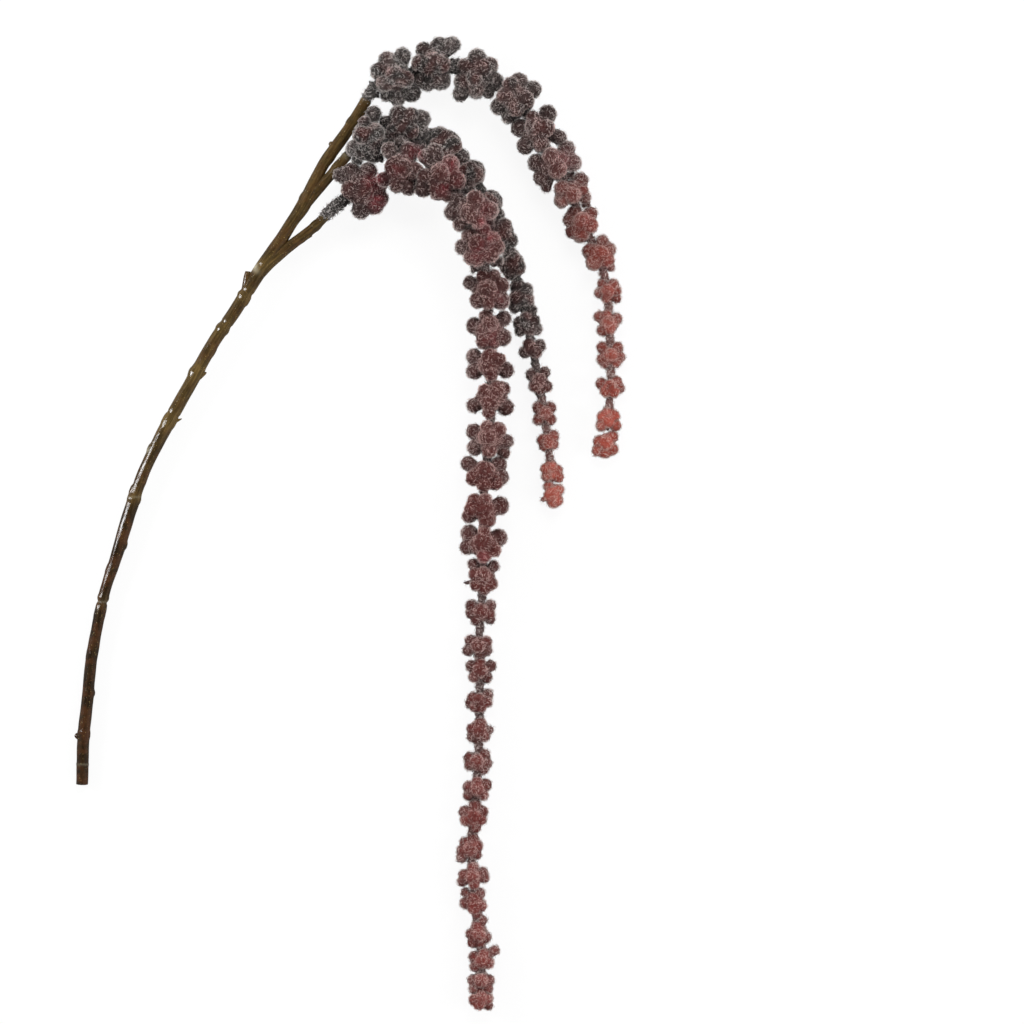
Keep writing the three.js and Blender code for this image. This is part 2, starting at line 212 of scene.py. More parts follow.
# Route of the main stem and upper branch from the cut end: x, y, z, radius
MAIN_STEM = [
    (-147.6, -142.6, 3.3, 3.3), (-146.6, -115.1, 3.9, 3.4), (-144.6, -97.1, 4.1, 3.3),
    (-142.6, -76.1, 4.2, 3.2), (-138.6, -53.1, 4.5, 3.1), (-134.6, -35.6, 4.8, 3.0),
    (-127.6, -14.1, 5.3, 3.4), (-120.6, 8.9, 5.8, 3.6), (-112.1, 31.9, 6.4, 3.3),
    (-100.6, 54.9, 7.0, 3.7), (-87.6, 77.9, 7.6, 3.6), (-74.6, 100.9, 8.2, 3.5), (-63.6, 116.9, 8.8, 3.5),
    (-50.9, 137.4, 9.5, 3.9), (-37.0, 157.9, 10.4, 3.6), (-31.6, 166.5, 10.8, 3.3),
    (-25.4, 175.4, 11.2, 3.9), (-14.3, 197.9, 12.2, 3.2), (-7.6, 207.4, 12.8, 3.4),
    (2.3, 221.4, 13.4, 3.2), (9.6, 233.6, 14.0, 3.1),
]
MIDDLE_BRANCH = [
    (-25.8, 174.0, 10.9, 2.6), (-15.2, 186.6, 12.8, 2.9), (-10.4, 191.8, 14.2, 2.7),
    (-5.8, 197.2, 15.7, 2.7), (-0.6, 203.0, 17.0, 2.7),
]
LOWER_BRANCH = [
    (-56.0, 130.0, 9.2, 2.6), (-45.1, 142.9, 9.9, 3.2), (-31.6, 154.4, 10.8, 2.9),
    (-18.1, 164.9, 12.2, 2.7), (-12.1, 170.9, 13.0, 2.7),
]

# Marks along the main stem: picture height, bearing round it (0 left, 90 up, 180 right, None all round),
# how far it stands out, its length along the stem and its spread round it
STEM_MARKS = [
    (735, None, 0.35, 2.2, 0), (765, None, 0.18, 0.7, 0), (693, 180, 0.55, 1.6, 34),
    (655, 0, 0.25, 3.0, 40), (612, None, 0.25, 3.4, 0), (602, None, -0.45, 0.9, 0),
    (598, None, 0.25, 1.3, 0), (570, 0, 0.3, 2.4, 40), (544, 180, 0.6, 2.0, 36),
    (499, None, 0.35, 1.6, 0), (491, 0, 0.9, 2.6, 34), (489, None, -0.25, 3.0, 0),
    (450, 0, 0.55, 2.0, 36), (421, None, 0.4, 2.6, 0), (414, None, -0.25, 0.8, 0),
    (374, 0, 0.55, 2.2, 40), (371, None, 0.3, 2.4, 0), (350, 180, 0.3, 2.2, 40),
    (329, None, 0.45, 1.3, 0), (324, None, -0.25, 0.8, 0), (300, 180, 0.65, 1.5, 40),
    (296, None, 0.4, 1.0, 0), (292, None, -0.3, 0.7, 0), (262, 90, 0.5, 2.0, 50), (199, 0, 0.4, 1.8, 40),
    (190, 180, 0.3, 1.8, 40), (158, 180, 0.3, 2.2, 40), (124, 0, 0.45, 1.8, 40), (112, 180, 0.3, 1.6, 40),
]
MIDDLE_MARKS = [(168, 0, 0.3, 2.0, 40)]
LOWER_MARKS = [(236, 180, 0.35, 2.0, 40), (226, None, 0.3, 1.2, 0)]
END_CHAMFER = 0.35
BRANCH_CHAMFER = 0.5
CHAMFER_SHIFTS = (-1.0, -0.6, 0.6, 1.0)  # of the two rings at each end, as shares of the chamfer
CHAMFER_SCALES = (0.72, 0.93, 0.93, 0.72)
SPUR_END = 0.3  # the share of a spur that is rounded

# Where the stem is olive: picture heights and shares, and the heights of its nodes, which are more so
OLIVE_RUN = ([150, 230, 290, 400, 560], [0.65, 0.55, 0.4, 0.7, 0.0])
STEM_NODES = (602, 497, 421, 373, 328, 296, 265)
NODE_OLIVE = 0.45
NODE_REACH = 9

# Glue at the branch tips, pale lines at the picture heights of the rings, and pale scars: picture place,
# height, reach in millimetres, strength
BRANCH_TIPS = [(9.4, 234.9, 14.0), (-0.6, 203.4, 17.0), (-12.1, 170.9, 13.0)]
RING_LINES = (497, 602, 765)
TIP_GLUE = 0.7
TIP_AREA = 5.0  # square millimetres
LINE_GLUE = 0.16
MOST_GLUE = 0.8
PALE_SCARS = [
    (254, 266, 12.0, 1.8, 0.9), (257, 271, 12.0, 1.6, 0.7), (147, 450, 8.0, 1.6, 0.6),
]

# Spurs and cut stubs: from, to, the radii at both, and how much the end is rounded
STEM_SPURS = [
    ((-57.1, 126.9, 9.0), (-55.6, 139.9, 9.8), 2.7, 1.9, 0.15),
    ((-28.6, 156.4, 11.0), (-20.4, 159.7, 11.6), 1.7, 1.1, 0.5),
    ((-146.6, -118.0, 3.7), (-151.4, -115.2, 3.9), 2.1, 1.5, 0.6),
    ((-7.6, 207.4, 12.8), (-10.6, 210.6, 13.0), 2.2, 1.3, 0.7),
    ((-98.6, 56.4, 7.0), (-92.1, 58.9, 7.4), 1.7, 0.35, 0.9),
    ((-82.6, 81.9, 7.8), (-78.6, 84.4, 8.0), 1.7, 0.6, 0.8),
]

# Bare run of each core, from its socket in the branch to its first floret: x, y, z, radius
CORE_NECKS = {
    "upper": [(6.9, 229.4, 13.7, 1.5), (9.8, 234.6, 14.0, 2.8), (13.9, 240.9, 14.2, 2.5)],
    "middle": [(-5.2, 199.5, 16.1, 1.5), (-0.6, 203.4, 17.0, 2.0), (2.9, 206.9, 18.4, 2.3)],
    "long": [(-16.3, 166.7, 12.5, 1.5), (-12.1, 171.2, 13.0, 3.1), (-3.1, 178.4, 14.0, 3.2)],
}

# Boxes of the flat layout: the stem's tubes one over the other, with the spurs in a row above them, and
# the skins of a flocked piece below its fibres
STEM_LAYOUT = [(0.0, 0.0, 1.0, 0.5), (0.0, 0.52, 1.0, 0.62), (0.0, 0.64, 1.0, 0.76)]
STEM_LAYOUT += [(i / 6, 0.8, (i + 0.9) / 6, 0.98) for i in range(6)]
SKIN_ROOM = 0.7
SKIN_EDGE = 0.01
SKIN_GAP = 0.005
FIBRE_BOX = (0.0, 0.72, 1.0, 1.0)

# Tufts of loose flock on the cores, beside the necks and between florets: picture place, height and radius
# in pixels
TUFTS = {
    "upper": [
        (376, 95, 13.0, 3.5), (384, 95, 13.0, 4.0), (371, 83, 14.0, 2.0), (455, 63, 13.0, 5.5),
        (570, 176, 10.0, 5.0), (586, 204, 9.5, 4.5),
    ],
    "middle": [
        (357, 160, 19.0, 5.5), (379, 158, 20.0, 5.0), (398, 148, 15.0, 6.5), (416, 143, 17.5, 6.0),
        (422, 144, 15.0, 6.0),
    ],
    "long": [
        (388, 138, 21.0, 6.5), (401, 142, 24.0, 7.0), (411, 157, 24.0, 5.5), (420, 151, 27.0, 7.0),
        (468, 224, 20.0, 6.0), (488, 222, 22.0, 6.0), (476, 268, 24.0, 5.5), (497, 262, 25.0, 6.0),
    ],
}

# Lobes that the picture shows on each floret of a tassel, from its top on: picture place and radius, in
# pixels. The tip piece has two lots, one for each half.
SEEN_LOBES = {
    "upper": [
        [(387, 60, 9), (402, 57, 9), (379, 71, 9), (385, 83, 9), (395, 76, 10), (397, 97, 8.5),
         (411, 92, 9.5), (405, 79, 9), (386, 95, 6)],
        [(424, 50, 8.5), (439, 47, 9.5), (451, 46, 9), (420, 63, 9), (435, 62, 10), (443, 65, 8),
         (420, 78, 9.5), (440, 79, 10.5), (428, 83, 7.5)],
        [(477, 58, 9.5), (490, 65, 8.5), (465, 66, 8), (483, 68, 9), (463, 81, 9.5), (461.5, 93, 8.5),
         (476, 89, 8.5), (488, 92, 6.5), (494, 80, 8.5), (474, 78, 9)],
        [(511, 85, 8.5), (519, 82, 9.5), (532, 90, 9), (525, 100, 9.5), (505, 96, 9), (500, 106, 9),
         (509, 116, 7.5), (516, 108, 9)],
        [(547, 115, 9.5), (521, 128, 9.5), (526, 145, 9), (534, 126, 9.5), (546, 128, 9), (558, 137, 8),
         (541, 143, 9), (533, 117, 7)],
        [(538, 163, 9.5), (542, 177, 8.5), (551, 156, 9), (566, 150, 9), (572, 163, 9), (557, 169, 10),
         (547, 186, 6)],
        [(580, 181, 8.5), (562, 188, 8), (562, 200, 8), (573, 195, 8.5), (584, 197, 7), (583, 190, 6)],
        [(571, 220, 8), (575, 213, 7.5), (590, 214, 7.5), (590, 225, 8.5), (581, 233, 9.5),
         (573, 231, 7.5), (582, 221, 9)],
        [(602, 242, 7), (590, 251, 8), (608, 250, 8), (607, 260, 8), (594, 262, 8.5), (610, 267, 5),
         (600, 254, 9)],
        [(603, 284, 6), (613, 285, 6.5), (600, 293, 6), (616, 291, 6), (616, 298, 5.5), (607, 298, 6),
         (608, 291, 7)],
        [(600, 317, 6.5), (607, 315, 5.5), (616, 319, 6.5), (603, 330, 6.5), (610, 329, 6),
         (608, 322, 6.5)],
        [(603, 348, 6.5), (617, 348, 6.5), (603, 359, 6.5), (619, 357, 6.5), (606, 363, 6),
         (616, 363, 5.5), (611, 355, 7)],
        [(602, 384, 6.5), (616, 382, 6.5), (619, 388, 6), (606, 391, 6.5), (614, 392, 6), (610, 386, 6.5)],
        [(603, 417, 6.5), (614, 416, 6.5), (615, 425, 6.5), (602, 425, 6.5), (608, 421, 7)],
        [(612, 437, 6.5), (600, 442, 7), (598, 450, 6.5), (612, 449, 6.5), (605, 452, 6.5), (606, 443, 7)],
    ],
    "middle": [
        [(373, 115, 8.5), (375, 133, 10), (362, 135, 9), (355, 148, 8.5), (373, 154, 8.5), (363, 152, 8),
         (383, 143, 7), (365, 123, 7)],
        [(399, 115, 9.5), (411, 116, 9), (421, 119, 9), (386, 122, 6.5), (395, 131, 9), (410, 131, 9),
         (421, 132, 8)],
        [(440, 136, 9.5), (453, 145, 9), (430, 136, 8), (461, 157, 8.5), (428, 150, 9), (445, 152, 9),
         (438, 145, 9)],
        [(475, 175, 9.5), (470, 170, 8.5), (470, 186, 6), (464, 186, 9), (466, 172, 9)],
        [(487.5, 199, 7), (497, 214, 7.5), (484, 208, 8), (490, 204, 9), (480, 200, 7)],
        [(504, 226, 8.5), (509, 240, 8.5), (501, 241, 8.5), (497, 228, 8.5), (503, 234, 8)],
        [(511, 256, 8.5), (517, 267, 9), (508, 267, 8.5), (511, 273, 7.5), (514, 259, 7.5)],
        [(518, 287, 8), (526, 290, 7.5), (517, 298, 8.5), (526, 299, 8.5), (515, 307, 6.5),
         (528, 304, 6.5)],
        [(531, 311, 6.5), (520, 323, 7), (533, 321, 7.5), (521, 330, 6.5), (530, 329, 7), (536, 329, 6.5),
         (526, 318, 6.5)],
        [(529, 344, 6.5), (539, 346, 7), (525, 352, 6.5), (536, 352, 6.5), (531, 349, 7)],
        [(532, 375, 6.5), (544, 373, 6.5), (535, 386, 6.5), (546, 386, 6.5), (539, 380, 7),
         (540, 391, 5.5)],
        [(539, 408, 7), (550, 408, 6.5), (539, 419, 6.5), (550, 419, 6.5), (545, 413, 7)],
        [(553, 436, 6.5), (543, 440, 6.5), (553, 444, 6), (544, 446, 5.5), (548, 443, 6.5)],
        [(546, 469, 6), (547, 476, 6), (557, 470, 6), (558, 477, 6), (552, 474, 7), (552, 467, 5.5)],
        [(549, 487, 6), (558, 490, 6.5), (557, 500, 6.5), (553, 502, 6.5), (544, 499, 3.5),
         (552, 493, 7.5), (549, 496, 6)],
    ],
    "long": [
        [(342, 176, 8.5), (352, 172, 9), (368, 172, 9), (350, 190, 9.5), (378, 185, 9), (379, 198, 9),
         (361, 209, 9.5), (374, 206, 8.5), (362, 188, 10)],
        [(390, 151, 8.5), (408, 152, 9.5), (393, 166, 9), (385, 179, 8), (403, 168, 9.5), (396, 185, 7),
         (408, 186, 9), (415, 171, 9)],
        [(435, 154, 9.5), (425, 158, 7), (450, 164, 9.5), (425, 177, 9), (424, 188, 9), (438, 190, 9.5),
         (440, 173, 10), (456, 180, 9.5), (447, 196, 6)],
        [(457, 200, 8.5), (475, 199, 9), (454, 212, 9), (470, 213, 10), (489, 210, 9.5), (460, 224, 7.5),
         (478, 221, 8)],
        [(464, 247, 8.5), (477, 258, 8.5), (490, 254, 9), (470, 236, 8.5), (478, 243, 9.5), (492, 240, 9),
         (483, 231, 8), (498, 247, 7), (470, 257, 7)],
        [(471, 283, 7.5), (484, 277, 8), (501, 285, 8.5), (478, 300, 8.5), (500, 300, 9.5),
         (487, 289, 10), (488, 303, 7), (494, 276, 7)],
        [(503, 319, 8), (475, 326, 8.5), (486, 316, 7), (490, 324, 9), (502, 337, 9), (484, 341, 8.5),
         (494, 343, 6)],
        [(475, 357, 8.5), (475, 371, 8.5), (490, 357, 9), (505, 370, 8.5), (488, 366, 9.5), (499, 359, 7),
         (491, 374, 7)],
        [(497, 389, 9), (485, 391, 7.5), (503, 389, 7.5), (475, 405, 8), (505, 407, 8.5), (490, 402, 9.5),
         (489, 412, 7)],
        [(475, 432, 8.5), (498, 430, 8.5), (476, 447, 8.5), (506, 441, 7.5), (503, 452, 7),
         (488, 437, 10), (489, 450, 8), (487, 427, 7)],
        [(469, 464, 8), (498, 465, 8.5), (474, 478, 8.5), (500, 477, 8.5), (495, 482, 8.5),
         (485, 471, 10), (484, 484, 8)],
        [(475, 502, 8.5), (472, 509, 8), (469, 516, 7.5), (499, 506, 9.5), (483, 509, 10), (487, 519, 9),
         (485, 500, 7)],
        [(470, 534, 9), (468, 547, 8), (498, 538, 9), (494, 550, 7.5), (483, 542, 10), (484, 555, 8),
         (484, 531, 6.5)],
        [(474, 565, 6.5), (493, 567, 6.5), (475, 574, 7), (466, 582, 3), (491, 584, 7), (483, 574, 8),
         (484, 588, 7.5), (476, 585, 6.5)],
        [(472, 606, 6.5), (490, 606, 6.5), (472, 613, 6.5), (489, 614, 6.5), (490, 619, 5.5),
         (476, 620, 6), (481, 611, 7.5)],
        [(471, 641, 6.5), (469, 650, 6.5), (486, 642, 6.5), (486, 650, 6.5), (480, 654, 6.5),
         (478, 646, 7)],
        [(472, 666, 6.5), (490, 666, 6.5), (474, 677, 6), (486, 677, 6.5), (480, 670, 7.5),
         (480, 664, 6.5)],
        [(487, 695, 6.5), (487, 702, 6), (473, 698, 6.5), (471, 703, 6), (475, 707, 6), (481, 707, 6),
         (479, 700, 7)],
        [(480, 724, 7), (472, 729, 6), (489, 730, 5), (473, 736, 6.5), (484, 736, 6.5), (479, 731, 7.5),
         (478, 741, 5)],
        [(470, 758, 6.5), (470, 765, 6), (484, 755, 6.5), (486, 763, 6.5), (483, 769, 6), (477, 761, 7)],
        [(469, 787, 6.5), (469, 795, 6), (485, 785, 7), (483, 795, 6), (477, 789, 7), (477, 782, 6)],
        [(465, 812, 6.5), (466, 820, 6.5), (482, 812, 6.5), (481, 820, 6), (475, 827, 6.5), (474, 816, 7),
         (475, 806, 7)],
        [(473, 839, 6.5), (465, 843, 6), (463, 850, 6.5), (462, 857, 6), (477, 846, 6.5), (476, 854, 6),
         (470, 848, 7)],
        [(473, 868, 6.5), (464, 875, 6), (463, 881, 6), (482, 873, 6.5), (484, 878, 5.5), (473, 877, 7),
         (474, 884, 6)],
        [(466, 893, 5.5), (479, 894, 6.5), (466, 903, 6.5), (481, 906, 6.5), (474, 898, 7), (474, 908, 7),
         (477, 914, 6)],
        [(482, 921, 6), (477, 927, 6.5), (472, 934, 6.5), (485, 937, 6.5), (473, 942, 6), (480, 943, 6),
         (479, 935, 7)],
        [(494, 951, 6), (484, 954, 6.5), (475, 957, 6.5), (476, 966, 6.5), (488, 963, 6.5), (482, 961, 7)],
        [(473, 980, 6), (489, 980, 6), (481, 981, 7), (475, 988, 6.5), (487, 988, 6.5)],
        [(475, 1000, 6.5), (487, 999, 6.5), (479, 1004, 6.5), (488, 1005, 5.5), (481, 998, 7),
         (481, 993, 6.5)],
    ],
}


def to_model(x, y, z=LEVEL):
    """Picture pixels to model millimetres at a height. Higher up a pixel is smaller, about the middle."""
    scale = (EYE_HEIGHT - z) / (EYE_HEIGHT - LEVEL)
    x = PICTURE_MIDDLE + (np.asarray(x, float) - PICTURE_MIDDLE) * scale
    y = PICTURE_MIDDLE + (np.asarray(y, float) - PICTURE_MIDDLE) * scale
    return (x - PICTURE_X) * PIXEL, (PICTURE_Y - y) * PIXEL


def picture_point(x, y, z):
    return np.array([*to_model(x, y, z), z])


def unit(vectors):
    return vectors / np.linalg.norm(vectors, axis=-1, keepdims=True)


def bell(gap, reach):
    """exp(-(gap / reach)^2)."""
    return np.exp(-((gap / reach) ** 2))


def ring_angles(sides):
    return 2 * math.pi * np.arange(sides) / sides


def smooth_path(points, step):
    """A curve through points, resampled about every step. All columns are carried along.

    Between two points it is the cubic Hermite curve h00 P0 + h10 w M0 + h01 P1 + h11 w M1, where the knots
    stand the square root of the chord apart, w is the gap between two of them and M is the slope by finite
    differences.
    """
    points = np.asarray(points, float)
    chord = np.linalg.norm(np.diff(points[:, :3], axis=0), axis=1)
    knots = np.concatenate([[0], np.cumsum(np.sqrt(chord))])
    slopes = np.gradient(points, knots, axis=0)
    place = np.linspace(0, knots[-1], 60 * len(points))
    span = np.clip(np.searchsorted(knots, place, side="right") - 1, 0, len(knots) - 2)
    width = np.diff(knots)[span][:, None]
    t = (place - knots[span])[:, None] / width
    curve = (2 * t**3 - 3 * t**2 + 1) * points[span] + (t**3 - 2 * t**2 + t) * width * slopes[span]
    curve += (3 * t**2 - 2 * t**3) * points[span + 1] + (t**3 - t**2) * width * slopes[span + 1]
    run = np.concatenate([[0], np.cumsum(np.linalg.norm(np.diff(curve[:, :3], axis=0), axis=1))])
    even = np.linspace(0, run[-1], max(int(round(run[-1] / step)), 2) + 1)
    return np.stack([np.interp(even, run, column) for column in curve.T], axis=1), even


def path_frame(path):
    """Three unit vectors at each point: along the slope, side = up cross along, and along cross side."""
    along = unit(np.gradient(path[:, :3], axis=0))
    side = unit(np.cross([0.0, 0.0, 1.0], along))
    return along, side, np.cross(along, side)


def closed_skin(rings, sides):
    """Triangles of a closed skin: vertex 0 is a pole, then come rings of vertices, then the other pole.

    Each quad between two rings is cut in two, and each pole is joined to its ring by a fan.
    """
    first = (1 + sides * np.arange(rings - 1))[:, None]
    here = np.arange(sides)[None]
    there = (here + 1) % sides
    a, b, c, d = first + here, first + there, first + here + sides, first + there + sides
    skin = np.stack([a, b, d, a, d, c], axis=-1).reshape(-1, 3)
    last = 1 + sides * (rings - 1)
    start = np.stack([0 * here, 1 + there, 1 + here], axis=-1).reshape(-1, 3)
    end = np.stack([0 * here + 1 + sides * rings, last + here, last + there], axis=-1).reshape(-1, 3)
    return np.concatenate([start, skin, end])


def skin_layout(rings, sides, box):
    """Flat places for the corners of closed_skin's triangles: round it is across the box, along it up."""
    x0, y0, x1, y1 = box
    across = x0 + (x1 - x0) * np.arange(sides + 1) / sides
    up = y0 + (y1 - y0) * np.arange(rings + 2) / (rings + 1)
    here = np.arange(sides)[None]
    row = np.arange(1, rings)[:, None]

    def place(column, level):
        column, level = np.broadcast_arrays(column, level)
        return np.stack([across[column], up[level]], axis=-1)

    def pole(level):
        return np.stack([(across[:-1] + across[1:]) / 2, np.full(sides, up[level])], axis=-1)[None]

    a, b, c, d = place(here, row), place(here + 1, row), place(here, row + 1), place(here + 1, row + 1)
    skin = np.stack([a, b, d, a, d, c], axis=-2).reshape(-1, 2)
    start = np.stack([pole(0), place(here + 1, 1), place(here, 1)], axis=-2).reshape(-1, 2)
    end = np.stack([pole(-1), place(here, rings), place(here + 1, rings)], axis=-2).reshape(-1, 2)
    return np.concatenate([start, skin, end])


def swept(centre, axes, radius):
    """Corners of a tube by rings, with a pole at both ends: centre + radius (side cos a + up sin a).

    radius has a row for each ring and a column for each side. Nothing goes under the floor.
    """
    side, up = axes[1:]
    angle = ring_angles(radius.shape[1])
    spoke = side[:, None] * np.cos(angle)[None, :, None] + up[:, None] * np.sin(angle)[None, :, None]
    skin = centre[:, None] + radius[..., None] * spoke
    corners = np.concatenate([centre[:1], skin.reshape(-1, 3), centre[-1:]])
    corners[:, 2] = np.maximum(corners[:, 2], 0)
    return corners


def joined(skins):
    """Corners and triangles of several skins as one. A skin starts with its own corners and triangles."""
    first = np.cumsum([0] + [len(skin[0]) for skin in skins])
    triangles = np.concatenate([skin[1] + offset for skin, offset in zip(skins, first)])
    return np.concatenate([skin[0] for skin in skins]), triangles


def make_piece(name, corners, triangles, material, layout, values):
    """A mesh object at the origin from corners in millimetres, with attributes of a value a corner."""
    mesh = bpy.data.meshes.new(name)
    mesh.vertices.add(len(corners))
    mesh.vertices.foreach_set("co", (corners * MM).astype(np.float32).ravel())
    mesh.loops.add(triangles.size)
    mesh.loops.foreach_set("vertex_index", triangles.astype(np.int32).ravel())
    mesh.polygons.add(len(triangles))
    mesh.polygons.foreach_set("loop_start", np.arange(0, triangles.size, 3, dtype=np.int32))
    mesh.update(calc_edges=True)
    for key, numbers in values.items():
        kind, field = ("FLOAT", "value") if numbers.ndim == 1 else ("FLOAT_VECTOR", "vector")
        slot = mesh.attributes.new(key, kind, "POINT")
        slot.data.foreach_set(field, numbers.astype(np.float32).ravel())
    flat = mesh.uv_layers.new(name="OFBake")
    flat.data.foreach_set("uv", layout.astype(np.float32).ravel())
    mesh.shade_smooth()
    mesh.materials.append(material)
    return add_object(name, mesh)


def add_object(name, data):
    thing = bpy.data.objects.new(name, data)
    bpy.context.scene.collection.objects.link(thing)
    return thing


# Materials


def set_up(node, **settings):
    """Set a node's properties, and link or set its inputs.

    An input goes by its name with _ for a space, or by its number after "in". A colour has three numbers.
    """
    for key, value in settings.items():
        if key in node.bl_rna.properties:
            setattr(node, key, value)
            continue
        socket = node.inputs[int(key[2:]) if key.startswith("in") else key.replace("_", " ")]
        if isinstance(value, bpy.types.NodeSocket):
            node.id_data.links.new(value, socket)
        else:
            socket.default_value = (*value, 1.0) if socket.type == "RGBA" else value


def new_node(tree, kind, output=0, **settings):
    """Add a node, set it up and return one of its outputs."""
    node = tree.nodes.new("ShaderNode" + kind)
    set_up(node, **settings)
    return node.outputs[output]


def lay_out(tree):
    """Place each node one column left of the nodes that it feeds."""
    column = {node.name: 0 for node in tree.nodes}
    for link in list(tree.links) * len(column):
        start, end = link.from_node.name, link.to_node.name
        column[start] = max(column[start], column[end] + 1)
    filled = dict.fromkeys(column.values(), 0)
    for node in tree.nodes:
        place = column[node.name]
        node.location = (-NODE_GAP * place, -NODE_GAP * filled[place])
        filled[place] += 1


def new_group(name, **inputs):
    """A shader node group that gives a mask. An input is a vector (None) or a number (its usual value)."""
    tree = bpy.data.node_groups.new(name, "ShaderNodeTree")
    for key, value in inputs.items():
        kind = "NodeSocketVector" if value is None else "NodeSocketFloat"
        socket = tree.interface.new_socket(name=key, in_out="INPUT", socket_type=kind)
        if value is not None:
            socket.default_value = value
    tree.interface.new_socket(name="Mask", in_out="OUTPUT", socket_type="NodeSocketFloat")
    return tree, tree.nodes.new("NodeGroupInput").outputs, tree.nodes.new("NodeGroupOutput")


def new_material(name):
    material = bpy.data.materials.new(name)
    material.use_nodes = True
    return material, material.node_tree, material.node_tree.nodes["Principled BSDF"]


def smooth_step(tree, value, **limits):
    return new_node(tree, "MapRange", interpolation_type="SMOOTHSTEP", Value=value, **limits)


def arithmetic(tree, operation, *values, **settings):
    inputs = {f"in{number}": value for number, value in enumerate(values)}
    return new_node(tree, "Math", operation=operation, **inputs, **settings)


def mix_colour(tree, factor, a, b):
    return new_node(tree, "Mix", 2, data_type="RGBA", in0=factor, in6=a, in7=b)


def make_strands():
    """Tangle of fine light strands: lines between warped cells, broken up by a finer noise."""
    tree, given, result = new_group("strand tangle", Vector=None, Scale=900.0, Width=0.2, Fray=0.5)
    place = given["Vector"]
    warp = new_node(tree, "TexNoise", "Color", Vector=place, Scale=700.0, Detail=2.0)
    shift = (0.0014, 0.0014, 0.0014)
    warped = new_node(tree, "VectorMath", operation="MULTIPLY_ADD", in0=warp, in1=shift, in2=place)
    cells = {"feature": "DISTANCE_TO_EDGE", "Scale": given["Scale"], "Randomness": 1.0}
    edge = new_node(tree, "TexVoronoi", "Distance", Vector=warped, **cells)
    line = smooth_step(tree, edge, From_Max=given["Width"], To_Min=1.0, To_Max=0.0)
    breaks = new_node(tree, "TexNoise", Vector=place, Scale=1500.0, Detail=1.0)
    gaps = smooth_step(tree, breaks, From_Min=0.38, From_Max=0.58)
    keep = new_node(tree, "Mix", data_type="FLOAT", Factor=given["Fray"], A=1.0, B=gaps)
    set_up(result, Mask=arithmetic(tree, "MULTIPLY", line, keep))
    lay_out(tree)
    return tree


def make_mottle():
    """Soft patches: noise cut off between two levels, stretched by the vector that it is given."""
    tree, given, result = new_group("mottle", Vector=None, Scale=1.0, Low=0.4, High=0.6)
    noise = {"Vector": given["Vector"], "Scale": given["Scale"], "Detail": 4.0, "Roughness": 0.6}
    level = new_node(tree, "TexNoise", **noise)
    set_up(result, Mask=smooth_step(tree, level, From_Min=given["Low"], From_Max=given["High"]))
    lay_out(tree)
    return tree


def make_flock(name, strands, width):
    """Flock: a web of light strands on the dark ground of the skin, and fibres with a tone of their own."""
    material, tree, shader = new_material(name)
    place = new_node(tree, "TexCoord", "Object")
    ground = new_node(tree, "Attribute", "Color", attribute_name="ground")
    strand = new_node(tree, "Attribute", "Color", attribute_name="strand")
    tone = new_node(tree, "Attribute", "Fac", attribute_name="tone")
    tangle = {"node_tree": strands, "Vector": place, "Width": width}
    coarse, fine = (new_node(tree, "Group", **tangle, Scale=scale, Fray=fray) for scale, fray in WEBS)
    web = arithmetic(tree, "MAXIMUM", coarse, fine)
    skin = arithmetic(tree, "MULTIPLY", web, WEB_SHARE)
    is_skin = arithmetic(tree, "LESS_THAN", tone, SKIN_TONE / 2)
    light = new_node(tree, "Mix", data_type="FLOAT", Factor=is_skin, A=tone, B=skin)
    set_up(
        shader,
        Base_Color=mix_colour(tree, light, ground, strand),
        Normal=new_node(tree, "Bump", Strength=0.6, Distance=0.0005, Height=web),
        Roughness=0.95,
        Specular_IOR_Level=0.1,
        Sheen_Weight=0.06,
        Sheen_Roughness=0.3,
        Sheen_Tint=(0.9, 0.86, 0.85),
    )
    lay_out(tree)
    return material


def make_stem_plastic(mottle):
    """Glossy plastic: dark brown, olive at the nodes and tips, with red-brown patches and gold flecks."""
    material, tree, shader = new_material("stem plastic")
    grain = new_node(tree, "Attribute", "Vector", attribute_name="grain")
    olive = new_node(tree, "Attribute", "Fac", attribute_name="olive")
    glue = new_node(tree, "Attribute", "Fac", attribute_name="glue")
    long_grain = new_node(tree, "Mapping", Vector=grain, Scale=(90.0, 900.0, 900.0))

    def patches(place, scale, low, high):
        return new_node(tree, "Group", node_tree=mottle, Vector=place, Scale=scale, Low=low, High=high)

    streaks = patches(long_grain, 1.0, 0.42, 0.62)
    flecks = patches(grain, 1500.0, 0.66, 0.7)
    brown = mix_colour(tree, streaks, *BROWN)
    brown = mix_colour(tree, patches(grain, 150.0, 0.44, 0.62), brown, RED_BROWN)
    olives = patches(grain, 210.0, 0.35, 0.7)
    share = arithmetic(tree, "MULTIPLY_ADD", olives, 0.5, olive, use_clamp=True)
    amount = arithmetic(tree, "MULTIPLY", share, olive)
    mixed = mix_colour(tree, amount, brown, mix_colour(tree, streaks, *OLIVE))
    mixed = mix_colour(tree, flecks, mixed, GOLD)
    height = arithmetic(tree, "MULTIPLY_ADD", streaks, 0.6, flecks)
    set_up(
        shader,
        Base_Color=mix_colour(tree, glue, mixed, GLUE),
        Roughness=new_node(tree, "MapRange", Value=streaks, To_Min=STEM_GLOSS[0], To_Max=STEM_GLOSS[1]),
        Normal=new_node(tree, "Bump", Strength=0.25, Distance=0.0004, Height=height),
        Specular_IOR_Level=0.45,
    )
    lay_out(tree)
    return material


